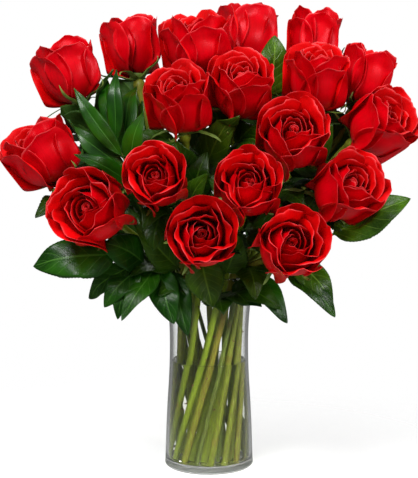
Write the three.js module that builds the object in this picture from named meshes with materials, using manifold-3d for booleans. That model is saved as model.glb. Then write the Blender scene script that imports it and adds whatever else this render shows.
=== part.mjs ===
// Eighteen red roses with salal and ruscus greens in a waisted clear glass vase of water.
// Millimetres, +Z up, the vase's round foot centred on the origin, the viewer's side at -Y.
// Every bloom is one body of layered petals round a furled heart. Every rose stem carries its hip,
// its sepals and its leaves, and all the stems spiral through the vase without touching.
import * as THREE from "three";
import { mergeVertices } from "three/addons/utils/BufferGeometryUtils.js";
import Module from "manifold-3d";

const wasm = await Module();
wasm.setup();

// ---- driving dimensions ----
const GAP = 0.35; // clear space kept between separate pieces
const ROOM = 0.6; // added round a stem or leaf for the space that its neighbours leave it
const VASE = { wall: 3, floor: 6, footRound: 4, innerRound: 3, sides: 20,
  profile: [[0, 47.5], [4, 47.2], [60, 45.2], [110, 41.8], [160, 41.8], [210, 48.5]] }; // [height, radius]
const [VASE_HEIGHT, MOUTH_RADIUS] = VASE.profile.at(-1);
const WATER_LEVEL = 115;
const FOOT_HEIGHT = VASE.floor + 1.6; // of the stems' cut ends
const BLOOM = { height: 70, seatRadius: 10, seatHeight: 7, petalThickness: 1 };
const HEART = { ridge: 13, groove: 9, topRidge: 9.5, topGroove: 5, rootRadius: 3, belly: 0.45, top: 0.88 };
const ROSE_STEM_RADIUS = 3.3;
const STEM_SIDES = 5;
const HIP = { radius: 6.6, length: 16, shoulder: 4.6, faceRadius: 5.4 };
const SEPAL = { length: 29, droop: 8, shares: [1, 0.75, 0.5, 0.3] };
const LEAF_THICKNESS = 0.8;
const PETIOLE_HALF_WIDTH = 1.1;

// ---- the roses: middle of each bloom, the way it faces, its radius where it is widest ----
// open runs from 0, a tight urn, to 1, with its outer petals rolled well back.
const ROSES = [
  { name: "01", middle: [-148, 15, 418], facing: [-0.38, 0.1, 0.9], radius: 35, open: 0.3 },
  { name: "02", middle: [-82, 60, 442], facing: [-0.18, 0.35, 0.9], radius: 32, open: 0.5 },
  { name: "03", middle: [-12, 5, 446], facing: [-0.1, -0.12, 1], radius: 38, open: 0.4 },
  { name: "04", middle: [40, 85, 452], facing: [0.08, 0.45, 0.9], radius: 36, open: 0.3 },
  { name: "05", middle: [113, 68, 449], facing: [0.08, 0.25, 0.96], radius: 28, open: 0.3 },
  { name: "06", middle: [165, 38, 412], facing: [0.33, 0.1, 0.9], radius: 29, open: 0.5 },
  { name: "07", middle: [-30, -55, 393], facing: [-0.12, -0.5, 0.86], radius: 34, open: 0.4 },
  { name: "08", middle: [32, -35, 406], facing: [0.08, -0.55, 0.83], radius: 34, open: 0.3 },
  { name: "09", middle: [111, -12, 413], facing: [0.05, -0.3, 0.95], radius: 33, open: 0.2 },
  { name: "10", middle: [175, -27, 368], facing: [0.6, -0.55, 0.5], radius: 36, open: 0.9 },
  { name: "11", middle: [85, -73, 360], facing: [0.05, -0.8, 0.6], radius: 38, open: 0.7 },
  { name: "12", middle: [-171, -25, 336], facing: [-0.55, -0.15, 0.82], radius: 39, open: 0.5 },
  { name: "13", middle: [-117, -95, 290], facing: [-0.4, -0.85, 0.35], radius: 41, open: 1 },
  { name: "14", middle: [-52, -105, 322], facing: [-0.08, -0.9, 0.42], radius: 33, open: 0.7 },
  { name: "15", middle: [39, -106, 314], facing: [0.03, -0.85, 0.52], radius: 35, open: 0.8 },
  { name: "16", middle: [137, -75, 308], facing: [0.5, -0.7, 0.5], radius: 37, open: 0.6 },
  { name: "17", middle: [-7, -134, 270], facing: [0.05, -0.96, 0.28], radius: 37, open: 0.8 },
  { name: "18", middle: [80, -115, 257], facing: [0.22, -0.9, 0.36], radius: 38, open: 0.9 },
];

// ---- the greens: a stem of its own each, and its leaves ----
// leaf: [share of the stem where it is rooted, tip x, y, z, full width, the way it faces if that is stated]
const GREENS = [
  { name: "ruscus_left", kind: "ruscus", radius: 1.9, end: [-98, -48, 352], leaves: [
    [0.99, -99, -35, 428, 19], [0.95, -137, -55, 408, 20], [0.9, -150, -30, 372, 22],
    [0.9, -70, -68, 385, 25], [0.84, -132, -78, 345, 23], [0.78, -72, -62, 322, 27]] },
  { name: "ruscus_back", kind: "ruscus", radius: 1.9, end: [-8, 120, 372], leaves: [
    [0.99, -10, 152, 440, 20], [0.94, 34, 150, 402, 22], [0.9, -48, 150, 392, 22],
    [0.84, 22, 165, 350, 24], [0.78, -42, 160, 335, 24]] },
  { name: "salal_left", kind: "salal", radius: 2.2, end: [-88, -76, 243], leaves: [
    [0.99, -181, -72, 231, 50], [0.93, -127, -62, 195, 28], [0.88, -107, -88, 193, 32],
    [0.82, -88, -104, 186, 28], [0.74, -22, -66, 156, 29]] },
  { name: "salal_right", kind: "salal", radius: 2.2, end: [124, -58, 258], leaves: [
    [0.99, 203, -72, 300, 43], [0.82, 130, -84, 183, 30], [0.67, 79, -84, 180, 32],
    [0.58, 52, -72, 190, 26]] },
  { name: "salal_top", kind: "salal", radius: 2, end: [64, 22, 392], leaves: [
    [0.99, 71, 14, 458, 43, [0.25, -1, 0]], [0.94, 94, 42, 412, 30], [0.88, 10, 46, 408, 32]] },
  { name: "salal_back_left", kind: "salal", radius: 2.2, end: [-92, 74, 300], leaves: [
    [0.99, -176, 92, 330, 44], [0.92, -140, 62, 258, 38], [0.86, -92, 132, 282, 42],
    [0.78, -52, 112, 222, 38]] },
  { name: "salal_back_right", kind: "salal", radius: 2.2, end: [96, 80, 300], leaves: [
    [0.99, 178, 94, 335, 44], [0.92, 150, 66, 262, 38], [0.86, 92, 138, 284, 42],
    [0.78, 52, 116, 220, 38]] },
];

// ---- leaves that grow on the rose stems, in the same form ----
const ROSE_LEAVES = {
  "01": [[0.82, -118, 38, 378, 34]],
  "02": [[0.8, -92, 108, 372, 36]],
  "03": [[0.72, 26, -62, 388, 42]],
  "04": [[0.78, 60, 122, 350, 36]],
  "06": [[0.8, 178, 62, 330, 36]],
  "07": [[0.74, -8, -72, 320, 36]],
  "08": [[0.72, 66, -62, 318, 36]],
  "09": [[0.8, 128, -44, 366, 34]],
  "12": [[0.72, -150, 10, 282, 36]],
  "14": [[0.66, -72, -78, 272, 36]],
  "15": [[0.68, 30, -62, 262, 36]],
  "16": [[0.72, 96, -84, 296, 34]],
  "17": [[0.86, 4, -82, 188, 42]],
  "18": [[0.8, 48, -92, 205, 34]],
};

// peak: how far along the widest place lies. fold: radians that each half is raised by. arch: the
// rise of the midrib over its length. rows: shares of the length where the blade is creased.
const LEAF_FORMS = {
  rose: { peak: 0.7, fullness: 0.85, petiole: 0.12, fold: 0.2, arch: 0.08, rows: [0, 0.28, 0.5, 0.72, 1] },
  salal: { peak: 0.72, fullness: 0.75, petiole: 0.1, fold: 0.16, arch: 0.1, rows: [0, 0.26, 0.48, 0.72, 1] },
  ruscus: { peak: 0.85, fullness: 0.9, petiole: 0.04, fold: 0.14, arch: 0.06, rows: [0, 0.28, 0.62, 1] },
};

// ---- how the stems are laid: two rings of a spiral bunch, pushed apart until they are clear ----
const SPIRAL = { neckHeight: 188, outerNeck: 31, innerNeck: 14, outerFoot: 36, innerFoot: 18,
  outerShare: 0.64, twist: 88, bend: 0.74, above: 5, tailLength: 20, leave: 0.4, arrive: 0.35 };
const SETTLE = { rounds: 300, clearance: 2, glassClearance: 1, bloomClearance: 44, samples: 6,
  stemPush: 0.45, bloomPush: 0.4, glassPush: 0.6, ease: 0.12, easeRounds: 230 };

const UP = new THREE.Vector3(0, 0, 1);
const rad = THREE.MathUtils.degToRad;
const vector = (a) => new THREE.Vector3(...a);
const polar = (r, angle, z) => new THREE.Vector3(r * Math.cos(angle), r * Math.sin(angle), z);

// A repeatable number from 0 to 1 for each whole key.
function chance(key) {
  const x = Math.sin(key * 12.9898 + 4.1414) * 43758.5453;
  return x - Math.floor(x);
}

// ---- solids ----
function toSolid(geometry) {
  const bare = geometry.clone();
  bare.deleteAttribute("normal");
  bare.deleteAttribute("uv");
  const merged = mergeVertices(bare, 1e-4);
  return new wasm.Manifold(new wasm.Mesh({ numProp: 3,
    vertProperties: Float32Array.from(merged.attributes.position.array),
    triVerts: Uint32Array.from(merged.index.array) }));
}

function toGeometry(solid) {
  const mesh = solid.getMesh();
  const geometry = new THREE.BufferGeometry();
  geometry.setAttribute("position", new THREE.BufferAttribute(Float32Array.from(mesh.vertProperties), 3));
  geometry.setIndex(new THREE.BufferAttribute(Uint32Array.from(mesh.triVerts), 1));
  geometry.computeVertexNormals();
  return geometry;
}

const joined = (solids) => wasm.Manifold.union(solids);
const largestBody = (solid) => solid.decompose().sort((a, b) => b.volume() - a.volume())[0];

// A solid from points and faces, turned inside out first if its faces look inwards.
function shellSolid(points, faces) {
  const geometry = new THREE.BufferGeometry().setFromPoints(points);
  geometry.setIndex(faces);
  const solid = toSolid(geometry);
  if (solid.volume() >= 0) return solid;
  geometry.setIndex(faces.reverse());
  return toSolid(geometry);
}

// Triangles that join one row of points to the next, whatever the count of each.
function strip(low, high) {
  const faces = [];
  let i = 0;
  let j = 0;
  while (i < low.length - 1 || j < high.length - 1) {
    if ((i + 1) * (high.length - 1) <= (j + 1) * (low.length - 1)) {
      faces.push([low[i], low[i + 1], high[j]]);
      i++;
    } else {
      faces.push([low[i], high[j + 1], high[j]]);
      j++;
    }
  }
  return faces;
}

// A blade of even thickness over surface(s, t), with s from -1 to 1 across and t from 0 to 1 along.
// Each row is [t, steps across]. Both faces are split alike, so a waved blade never crosses itself.
function bladeSolid(surface, rows, thickness) {
  const step = 0.02;
  const points = [];
  const front = [];
  const back = [];
  const keep = (p) => points.push(p) - 1;
  rows.forEach(([t, across], row) => {
    front.push([]);
    back.push([]);
    for (let i = 0; i <= across; i++) {
      const s = -1 + (2 * i) / across;
      const acrossIt = surface(s + step, t).sub(surface(s - step, t));
      const alongIt = surface(s, t + step).sub(surface(s, t - step));
      const half = acrossIt.cross(alongIt).normalize().multiplyScalar(thickness / 2);
      front[row].push(keep(surface(s, t).add(half)));
      back[row].push(keep(surface(s, t).sub(half)));
    }
  });
  const faces = [];
  const turned = ([a, b, c]) => [a, c, b];
  const first = (row) => [back[row][0], front[row][0]];
  const last = (row) => [front[row].at(-1), back[row].at(-1)];
  for (let row = 0; row + 1 < rows.length; row++) {
    faces.push(...strip(front[row], front[row + 1]), ...strip(back[row], back[row + 1]).map(turned));
    faces.push(...strip(first(row), first(row + 1)), ...strip(last(row), last(row + 1)));
  }
  faces.push(...strip(back[0], front[0]), ...strip(front.at(-1), back.at(-1)));
  return shellSolid(points, faces.flat());
}

// A closed solid through rings of points with as many points each, capped at both ends.
// Where tips are given, each face of the last band is drawn out to a point of its own.
function ringSolid(rings, tips = []) {
  const n = rings[0].length;
  const points = rings.flat();
  const faces = [];
  for (let row = 0; row + 1 < rings.length; row++) {
    for (let i = 0; i < n; i++) {
      const a = row * n + i;
      const b = row * n + ((i + 1) % n);
      const corners = [a, b, b + n, a + n];
      if (row + 2 === rings.length && tips[i]) {
        const tip = points.push(tips[i]) - 1;
        corners.forEach((corner, k) => faces.push(corner, corners[(k + 1) % 4], tip));
      } else faces.push(a, b, b + n, a, b + n, a + n);
    }
  }
  const last = (rings.length - 1) * n;
  for (let i = 1; i + 1 < n; i++) faces.push(0, i + 1, i, last, last + i, last + i + 1);
  return shellSolid(points, faces);
}

// The rings of a stem through the points of a route, with a radius at each. Its foot is cut level.
function stemRings(points, radii) {
  const across = new THREE.Vector3(1, 0, 0);
  return points.map((p, i) => {
    const from = points[Math.max(0, i - 1)];
    const to = points[Math.min(points.length - 1, i + 1)];
    const along = i === 0 ? UP : to.clone().sub(from).normalize();
    across.addScaledVector(along, -across.dot(along)).normalize();
    const other = along.clone().cross(across);
    return Array.from({ length: STEM_SIDES }, (_, k) => {
      const turn = (2 * Math.PI * k) / STEM_SIDES;
      return p.clone().addScaledVector(across, radii[i] * Math.cos(turn))
        .addScaledVector(other, radii[i] * Math.sin(turn));
    });
  });
}

// A profile of [radius, height] points turned about the Z axis.
function latheGeometry(profile, sides) {
  const outline = profile.map(([r, z]) => new THREE.Vector2(r, z));
  return new THREE.LatheGeometry(outline, sides).rotateX(Math.PI / 2);
}
const latheSolid = (profile, sides) => toSolid(latheGeometry(profile, sides));

// ---- vase and water ----
function vaseOuterRadius(z) {
  const k = Math.max(1, VASE.profile.findIndex(([height]) => height >= z));
  const [lowHeight, lowRadius] = VASE.profile[k - 1];
  const [highHeight, highRadius] = VASE.profile[k];
  return THREE.MathUtils.mapLinear(z, lowHeight, highHeight, lowRadius, highRadius);
}
const vaseInnerRadius = (z) => vaseOuterRadius(z) - VASE.wall;

// grown thickens the glass on every side, for the room that its neighbours leave it.
function vaseSolid(grown = 0) {
  const { wall, floor, footRound, innerRound, profile, sides } = VASE;
  const lifted = (z) => (z === VASE_HEIGHT ? z + grown : z);
  const outside = profile.slice(1).map(([z, r]) => [r + grown, lifted(z)]);
  const inside = profile.slice(2).reverse().map(([z, r]) => [r - wall - grown, lifted(z)]);
  const corner = vaseInnerRadius(floor);
  return latheSolid([[0, -grown], [profile[0][1] - footRound + grown, -grown], ...outside, ...inside,
    [corner - grown, floor + innerRound], [corner - innerRound, floor + grown], [0, floor + grown]], sides);
}

function waterSolid() {
  const { floor, innerRound, profile, sides } = VASE;
  const bottom = floor + GAP;
  const corner = vaseInnerRadius(floor) - GAP;
  const upright = profile.slice(2).filter(([z]) => z < WATER_LEVEL)
    .map(([z]) => [vaseInnerRadius(z) - GAP, z]);
  return latheSolid([[0, bottom], [corner - innerRound, bottom], [corner, bottom + innerRound], ...upright,
    [vaseInnerRadius(WATER_LEVEL) - GAP, WATER_LEVEL], [0, WATER_LEVEL]], sides);
}

// ---- stem routes ----
// Every stem has a foot on the vase floor, a slot in the vase's neck and an end that it reaches
// along a given direction. The widest-reaching stems take the outer ring of slots. Slots are dealt
// out in order round the vase, so the bunch spirals.
function stemList() {
  const roseStems = ROSES.map((rose) => ({ name: "stem_" + rose.name, rose, kind: "rose",
    leaves: ROSE_LEAVES[rose.name] ?? [], end: bloomPose(rose).seat, facing: bloomPose(rose).facing,
    radius: ROSE_STEM_RADIUS }));
  const greenStems = GREENS.map((green) => ({ ...green, end: vector(green.end),
    facing: vector([green.end[0], green.end[1], 60 + green.end[2] / 4]).normalize() }));
  return [...roseStems, ...greenStems];
}

function draftRoutes(stems) {
  const reach = (stem) => Math.hypot(stem.end.x, stem.end.y) - 0.35 * stem.end.z;
  const byReach = [...stems].sort((a, b) => reach(b) - reach(a));
  const outerCount = Math.round(stems.length * SPIRAL.outerShare);
  layRing(byReach.slice(0, outerCount), SPIRAL.outerNeck, SPIRAL.outerFoot);
  layRing(byReach.slice(outerCount), SPIRAL.innerNeck, SPIRAL.innerFoot);
}

function layRing(ring, neckRadius, footRadius) {
  const azimuth = (stem) => Math.atan2(stem.end.y, stem.end.x);
  ring.sort((a, b) => azimuth(a) - azimuth(b));
  // the slots are turned so that on average they lie nearest the stems' own directions
  const slot = (k) => -Math.PI + (2 * Math.PI * (k + 0.5)) / ring.length;
  const offsets = ring.map((stem, k) => azimuth(stem) - slot(k));
  const turn = Math.atan2(offsets.reduce((sum, x) => sum + Math.sin(x), 0),
    offsets.reduce((sum, x) => sum + Math.cos(x), 0));
  ring.forEach((stem, k) => {
    const angle = slot(k) + turn;
    const foot = polar(footRadius, angle - rad(SPIRAL.twist), FOOT_HEIGHT);
    stem.points = draftRoute(foot, polar(neckRadius, angle, SPIRAL.neckHeight), stem.end, stem.facing);
  });
}

function draftRoute(foot, neck, end, facing) {
  const tail = end.clone().addScaledVector(facing, -SPIRAL.tailLength);
  const rise = neck.clone().sub(foot).normalize();
  const span = tail.distanceTo(neck);
  const upper = new THREE.CubicBezierCurve3(neck, neck.clone().addScaledVector(rise, span * SPIRAL.leave),
    tail.clone().addScaledVector(facing, -span * SPIRAL.arrive), tail);
  return [foot, foot.clone().lerp(neck, SPIRAL.bend), ...upper.getPoints(SPIRAL.above), end.clone()];
}

// The nearest points of the pieces p-q and u-v, as shares s and t along them, and the step between.
function nearest(p, q, u, v) {
  const d1 = q.clone().sub(p);
  const d2 = v.clone().sub(u);
  const r = p.clone().sub(u);
  const a = d1.dot(d1);
  const b = d1.dot(d2);
  const c = d1.dot(r);
  const e = d2.dot(d2);
  const f = d2.dot(r);
  const denominator = a * e - b * b;
  let s = denominator > 1e-9 ? THREE.MathUtils.clamp((b * f - c * e) / denominator, 0, 1) : 0.5;
  let t = (b * s + f) / e;
  if (t < 0 || t > 1) {
    t = THREE.MathUtils.clamp(t, 0, 1);
    s = THREE.MathUtils.clamp((b * t - c) / a, 0, 1);
  }
  const step = p.clone().addScaledVector(d1, s).sub(u.clone().addScaledVector(d2, t));
  return { s, t, step };
}

// Pushes the routes apart in small rounds: from one another, from the blooms, and off the glass.
// The routes are also eased straight, less and less, so that the last rounds only clear them.
function settleRoutes(stems) {
  const fixed = SPIRAL.above + 2; // from here on a route runs along its own end's direction
  for (let round = 0; round < SETTLE.rounds; round++) {
    const push = stems.map((stem) => stem.points.map(() => new THREE.Vector3()));
    const ease = SETTLE.ease * Math.max(0, 1 - round / SETTLE.easeRounds);
    stems.forEach((a, i) => {
      for (let j = i + 1; j < stems.length; j++) pushApart(a, stems[j], push[i], push[j]);
    });
    stems.forEach((stem, i) => {
      pushOffBlooms(stem, push[i]);
      pushOffGlass(stem, push[i], fixed);
    });
    stems.forEach((stem, i) => {
      const before = stem.points.map((p) => p.clone());
      stem.points.slice(0, fixed).forEach((p, m) => {
        if (m > 0) p.lerp(before[m - 1].clone().add(before[m + 1]).multiplyScalar(0.5), ease);
        p.add(push[i][m]);
      });
      stem.points[0].z = FOOT_HEIGHT;
    });
  }
}

function pushApart(a, b, pushA, pushB) {
  const wanted = a.radius + b.radius + SETTLE.clearance;
  for (let m = 0; m + 1 < a.points.length; m++) {
    for (let n = 0; n + 1 < b.points.length; n++) {
      const { s, t, step } = nearest(a.points[m], a.points[m + 1], b.points[n], b.points[n + 1]);
      const gap = step.length();
      if (gap >= wanted || gap === 0) continue;
      step.multiplyScalar((SETTLE.stemPush * (wanted - gap)) / gap);
      pushA[m].addScaledVector(step, 1 - s);
      pushA[m + 1].addScaledVector(step, s);
      pushB[n].addScaledVector(step, t - 1);
      pushB[n + 1].addScaledVector(step, -t);
    }
  }
}

function pushOffBlooms(stem, push) {
  const wanted = SETTLE.bloomClearance + stem.radius;
  ROSES.filter((rose) => rose !== stem.rose).forEach((rose) => stem.points.forEach((p, m) => {
    const away = p.clone().sub(vector(rose.middle));
    const gap = away.length();
    if (gap < wanted) push[m].addScaledVector(away, (SETTLE.bloomPush * (wanted - gap)) / gap);
  }));
}

function pushOffGlass(stem, push, fixed) {
  for (let m = 0; m < fixed; m++) {
    for (let k = 0; k < SETTLE.samples; k++) {
      const share = k / SETTLE.samples;
      const step = offGlass(stem.points[m].clone().lerp(stem.points[m + 1], share), stem.radius);
      push[m].addScaledVector(step, SETTLE.glassPush * (1 - share));
      push[m + 1].addScaledVector(step, SETTLE.glassPush * share);
    }
  }
}

// The step that clears a point of a stem from the glass wall, or from the rim above it.
function offGlass(p, radius) {
  const clear = radius + SETTLE.glassClearance;
  const out = Math.hypot(p.x, p.y);
  if (p.z < VASE_HEIGHT) {
    const most = vaseInnerRadius(Math.max(p.z, VASE.floor)) * Math.cos(Math.PI / VASE.sides) - clear;
    return new THREE.Vector3(p.x, p.y, 0).multiplyScalar(Math.min(0, most - out) / out);
  }
  const fromRim = new THREE.Vector2(out - (MOUTH_RADIUS - VASE.wall / 2), p.z - VASE_HEIGHT);
  const gap = fromRim.length();
  fromRim.multiplyScalar(Math.max(0, clear + VASE.wall - gap) / gap);
  return new THREE.Vector3((p.x / out) * fromRim.x, (p.y / out) * fromRim.x, fromRim.y);
}

// A point at a share of a route's length.
function along(points, share) {
  const lengths = points.slice(1).map((p, i) => p.distanceTo(points[i]));
  let left = share * lengths.reduce((sum, x) => sum + x, 0);
  let i = 0;
  while (left > lengths[i] && i < lengths.length - 1) left -= lengths[i++];
  return points[i].clone().lerp(points[i + 1], Math.min(1, left / lengths[i]));
}

// ---- blooms ----
// A bloom's own frame: its seat at the end of the stem and +Z the way it faces.
function bloomPose(rose) {
  const facing = vector(rose.facing).normalize();
  const upright = new THREE.Quaternion().setFromUnitVectors(UP, facing);
  const seat = vector(rose.middle).addScaledVector(facing, -BLOOM.height / 2);
  return { seat, facing, upright };
}

// One bloom's petals from the outside in: five guard petals, then three that wrap the heart.
// turn and span are in degrees. roll turns an edge back. tuck slips one side of a petal under the
// next. crown rounds its top. claw, belly and rim are radii, and lift is its height.
function petalPlan(rose, seed) {
  const { radius, open } = rose;
  const { height } = BLOOM;
  const vary = (k, size) => (chance(seed * 97 + k) - 0.5) * 2 * size;
  const guards = Array.from({ length: 5 }, (_, i) => {
    const roll = open * (0.85 + vary(i + 60, 0.15));
    return { turn: 72 * i + vary(i, 3), span: 46, claw: 7.4, swell: 0.1, belly: 1.16 * radius,
      rim: radius * (0.76 + 0.2 * roll), lift: height * (0.92 + vary(i + 10, 0.02)), roll, tuck: 0.07,
      crown: 0.16, rows: [[0, 1], [0.42, 3], [1, 3]] };
  });
  const wraps = Array.from({ length: 3 }, (_, i) => ({ turn: 120 * i + 30 + vary(i + 20, 6), span: 72,
    claw: 4.8, swell: 0.26, belly: 0.58 * radius, rim: 0.46 * radius + 3 * open,
    lift: height * (0.96 + vary(i + 30, 0.02)), roll: 0.25 * open, tuck: 0.1,
    crown: 0.12, rows: [[0, 1], [0.5, 3], [1, 3]] }));
  return [...guards, ...wraps];
}

// The point of a petal, in the bloom's own frame. Its profile is a Bezier curve from the claw
// through the belly and a shoulder to the rim, and its corners turn out and down as it rolls.
function petalPoint(petal, s, t) {
  const { claw, belly, rim, swell, lift, roll } = petal;
  const u = t * (1 - petal.crown * s * s);
  const bezier = (a, b, c, d) =>
    (1 - u) ** 3 * a + 3 * (1 - u) ** 2 * u * b + 3 * (1 - u) * u * u * c + u ** 3 * d;
  const corner = roll * s * s * u ** 4;
  const shoulder = belly + (rim - belly) * 0.35;
  const tucked = petal.tuck * s * belly * Math.sqrt(Math.max(0, u));
  const r = bezier(claw, belly, shoulder, rim) + tucked + 3.5 * corner;
  const high = [(0.86 + 0.12 * roll) * lift, (1 - 0.07 * roll) * lift];
  const z = bezier(BLOOM.seatHeight - 2, swell * lift, ...high) - 5 * corner;
  const spread = 0.25 + 0.75 * Math.sin((Math.PI / 2) * Math.min(1, 1.2 * t));
  return polar(r, rad(petal.turn + petal.span * s * spread), z);
}

// The seat that the petals are rooted in, and the furled heart that rises from it in three ridges.
function heartSolid() {
  const { height, seatRadius, seatHeight } = BLOOM;
  const { ridge, groove, topRidge, topGroove, rootRadius, belly, top } = HEART;
  const ring = (z, count, turn, radii) => Array.from({ length: count }, (_, k) =>
    polar(radii[k % radii.length], rad(turn) + (2 * Math.PI * k) / count, z));
  const seat = [ring(0, 5, 36, [seatRadius]), ring(seatHeight, 5, 36, [seatRadius])];
  const heart = [ring(seatHeight - 1, 6, 0, [rootRadius]), ring(belly * height, 6, 34, [ridge, groove]),
    ring(top * height, 6, 68, [topRidge, topGroove])];
  return ringSolid(seat).add(ringSolid(heart));
}

function bloomSolid(rose, seed) {
  const petals = petalPlan(rose, seed).map((petal) =>
    bladeSolid((s, t) => petalPoint(petal, s, t), petal.rows, BLOOM.petalThickness));
  return largestBody(joined([...petals, heartSolid()]));
}

// The space round a bloom that leaves and sepals stay out of.
function bloomRoom(rose) {
  const { height, seatRadius } = BLOOM;
  const widest = rose.radius + 3 + 3 * rose.open;
  const { seat, upright } = bloomPose(rose);
  const profile = [[0, -GAP], [seatRadius + GAP, -GAP], [0.88 * widest, 0.15 * height],
    [widest, 0.6 * height], [widest, 0.95 * height], [0.5 * widest, height + 2], [0, height + 2]];
  const matrix = new THREE.Matrix4().makeRotationFromQuaternion(upright).setPosition(seat);
  return toSolid(latheGeometry(profile, 12).applyMatrix4(matrix));
}

// ---- leaves ----
// A leaf runs from its root to its tip over a low arch. s is across it and t along it.
function leafPoint(leaf, s, t) {
  const { form, root, chord, side, up, width } = leaf;
  const q = THREE.MathUtils.clamp((t - form.petiole) / (1 - form.petiole), 0, 1);
  const bulge = Math.sin(Math.PI * q ** form.peak) ** form.fullness;
  const half = Math.max(PETIOLE_HALF_WIDTH * (1 - 0.7 * t), (width / 2) * bulge);
  const rise = 4 * form.arch * chord.length() * t * (1 - t);
  return root.clone().addScaledVector(chord, t)
    .addScaledVector(side, s * half * Math.cos(form.fold))
    .addScaledVector(up, rise + Math.abs(s) * half * Math.sin(form.fold));
}

// A blade faces the front or the back of the bunch, whichever it is nearer, and a little upwards.
function leafSolid(stem, [share, x, y, z, width, front], grown = 0) {
  const form = LEAF_FORMS[stem.kind];
  const root = along(stem.points, share);
  const chord = new THREE.Vector3(x, y, z).sub(root);
  const flat = front ? vector(front) : new THREE.Vector3(root.x + x, 6 * (root.y + y), 0);
  const face = flat.normalize().addScaledVector(UP, 0.6);
  const side = chord.clone().cross(face).normalize();
  const up = side.clone().cross(chord).normalize();
  const leaf = { form, root, chord, side, up, width: width + 2 * grown };
  const rows = form.rows.map((t) => [t, t === 0 || t === 1 ? 1 : 2]);
  return bladeSolid((s, t) => leafPoint(leaf, s, t), rows, LEAF_THICKNESS + 2 * grown);
}

// ---- stems with their hips and sepals ----
// grown thickens a stem on every side, for the room that its neighbours leave it.
function stemSolid(stem, grown = 0) {
  const tips = (stem.tips ?? []).map((tip) => tip && tip.clone().lerp(stem.end, -grown / 5));
  return ringSolid(stemBands(stem, grown), tips);
}

// A rose stem's last stretch swells into its hip, and ends just under the bloom's seat.
function stemBands(stem, grown) {
  const points = stem.points.map((p) => p.clone());
  const radii = points.map(() => stem.radius + grown);
  points[0].z -= grown;
  if (stem.rose) {
    const below = (depth) => stem.end.clone().addScaledVector(stem.facing, -depth);
    points.splice(-1, 1, below(HIP.length), below(HIP.shoulder), below(GAP));
    radii.splice(-1, 1, stem.radius + grown, HIP.radius + grown, HIP.faceRadius + grown);
  } else radii[radii.length - 1] *= 0.6;
  return stemRings(points, radii);
}

// The sepals are drawn out of the hip's top band, each as long as its neighbours leave room for.
function sepalTips(stem, seed, neighbours) {
  const [low, high] = stemBands(stem, 0).slice(-2);
  return low.map((corner, k) => {
    const next = (k + 1) % STEM_SIDES;
    const corners = [corner, low[next], high[next], high[k]];
    const middle = corners.reduce((sum, p) => sum.add(p), new THREE.Vector3()).multiplyScalar(1 / 4);
    const out = middle.sub(stem.end).projectOnPlane(stem.facing).normalize();
    const length = SEPAL.length * (0.85 + 0.3 * chance(13 * seed + k));
    const droop = SEPAL.droop * (0.6 + 0.8 * chance(17 * seed + k));
    return SEPAL.shares
      .map((share) => stem.end.clone().addScaledVector(out, share * length)
        .addScaledVector(stem.facing, -share * droop))
      .find((tip) => {
        const spike = shellSolid([...corners, tip], [0, 1, 2, 0, 2, 3, 1, 0, 4, 2, 1, 4, 3, 2, 4, 0, 3, 4]);
        return cutClear(spike, neighbours).volume() > 0.999 * spike.volume();
      });
  });
}

// ---- assembly ----
// What is left of a leaf or sepal outside the room of its neighbours.
function cutClear(solid, neighbours) {
  const mine = solid.boundingBox();
  const meets = (box) => [0, 1, 2].every((i) => mine.min[i] < box.max[i] && mine.max[i] > box.min[i]);
  const near = neighbours.filter((other) => meets(other.boundingBox()));
  return near.length ? solid.subtract(joined(near)) : solid;
}

const material = (color, roughness) => new THREE.MeshStandardMaterial({ color, roughness, metalness: 0 });
const clearMaterial = (color, opacity) =>
  new THREE.MeshStandardMaterial({ color, opacity, roughness: 0.05, metalness: 0, transparent: true });
const PETAL = material(0xb8070f, 0.6);
const GREENERY = { rose: material(0x4f6f1d, 0.55), salal: material(0x2c5a16, 0.4),
  ruscus: material(0x35601c, 0.4) };
const GLASS = clearMaterial(0xe8efec, 0.3);
const WATER = clearMaterial(0xc9d6b8, 0.4);

const group = new THREE.Group();
function add(name, solid, finish) {
  const mesh = new THREE.Mesh(toGeometry(solid), finish);
  mesh.name = name;
  group.add(mesh);
  return mesh;
}

ROSES.forEach((rose, i) => {
  const { seat, upright } = bloomPose(rose);
  const bloom = add("bloom_" + rose.name, bloomSolid(rose, i + 1), PETAL);
  bloom.position.copy(seat);
  bloom.quaternion.copy(upright);
});

const stems = stemList();
draftRoutes(stems);
settleRoutes(stems);

const without = (list, i) => list.filter((_, k) => k !== i);
const glassRoom = vaseSolid(GAP);
const bloomRooms = ROSES.map(bloomRoom);
const stemRooms = stems.map((stem) => stemSolid(stem, ROOM));
const leafRooms = [];

// the roses come first in both lists, so a rose stem's index is also its bloom's
ROSES.forEach((_, i) => {
  const neighbours = [...without(stemRooms, i), ...without(bloomRooms, i), glassRoom];
  stems[i].tips = sepalTips(stems[i], i + 1, neighbours);
  stemRooms[i] = stemSolid(stems[i], ROOM);
});

stems.forEach((stem, i) => {
  const neighbours = [...without(stemRooms, i), ...bloomRooms, glassRoom, ...leafRooms];
  const leaves = stem.leaves.map((leaf) => cutClear(leafSolid(stem, leaf), neighbours));
  add(stem.name, largestBody(joined([stemSolid(stem), ...leaves])), GREENERY[stem.kind]);
  stem.leaves.forEach((leaf) => leafRooms.push(leafSolid(stem, leaf, ROOM)));
});

add("vase", vaseSolid(), GLASS);
add("water", largestBody(waterSolid().subtract(joined(stemRooms))), WATER);

export default group;
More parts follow.
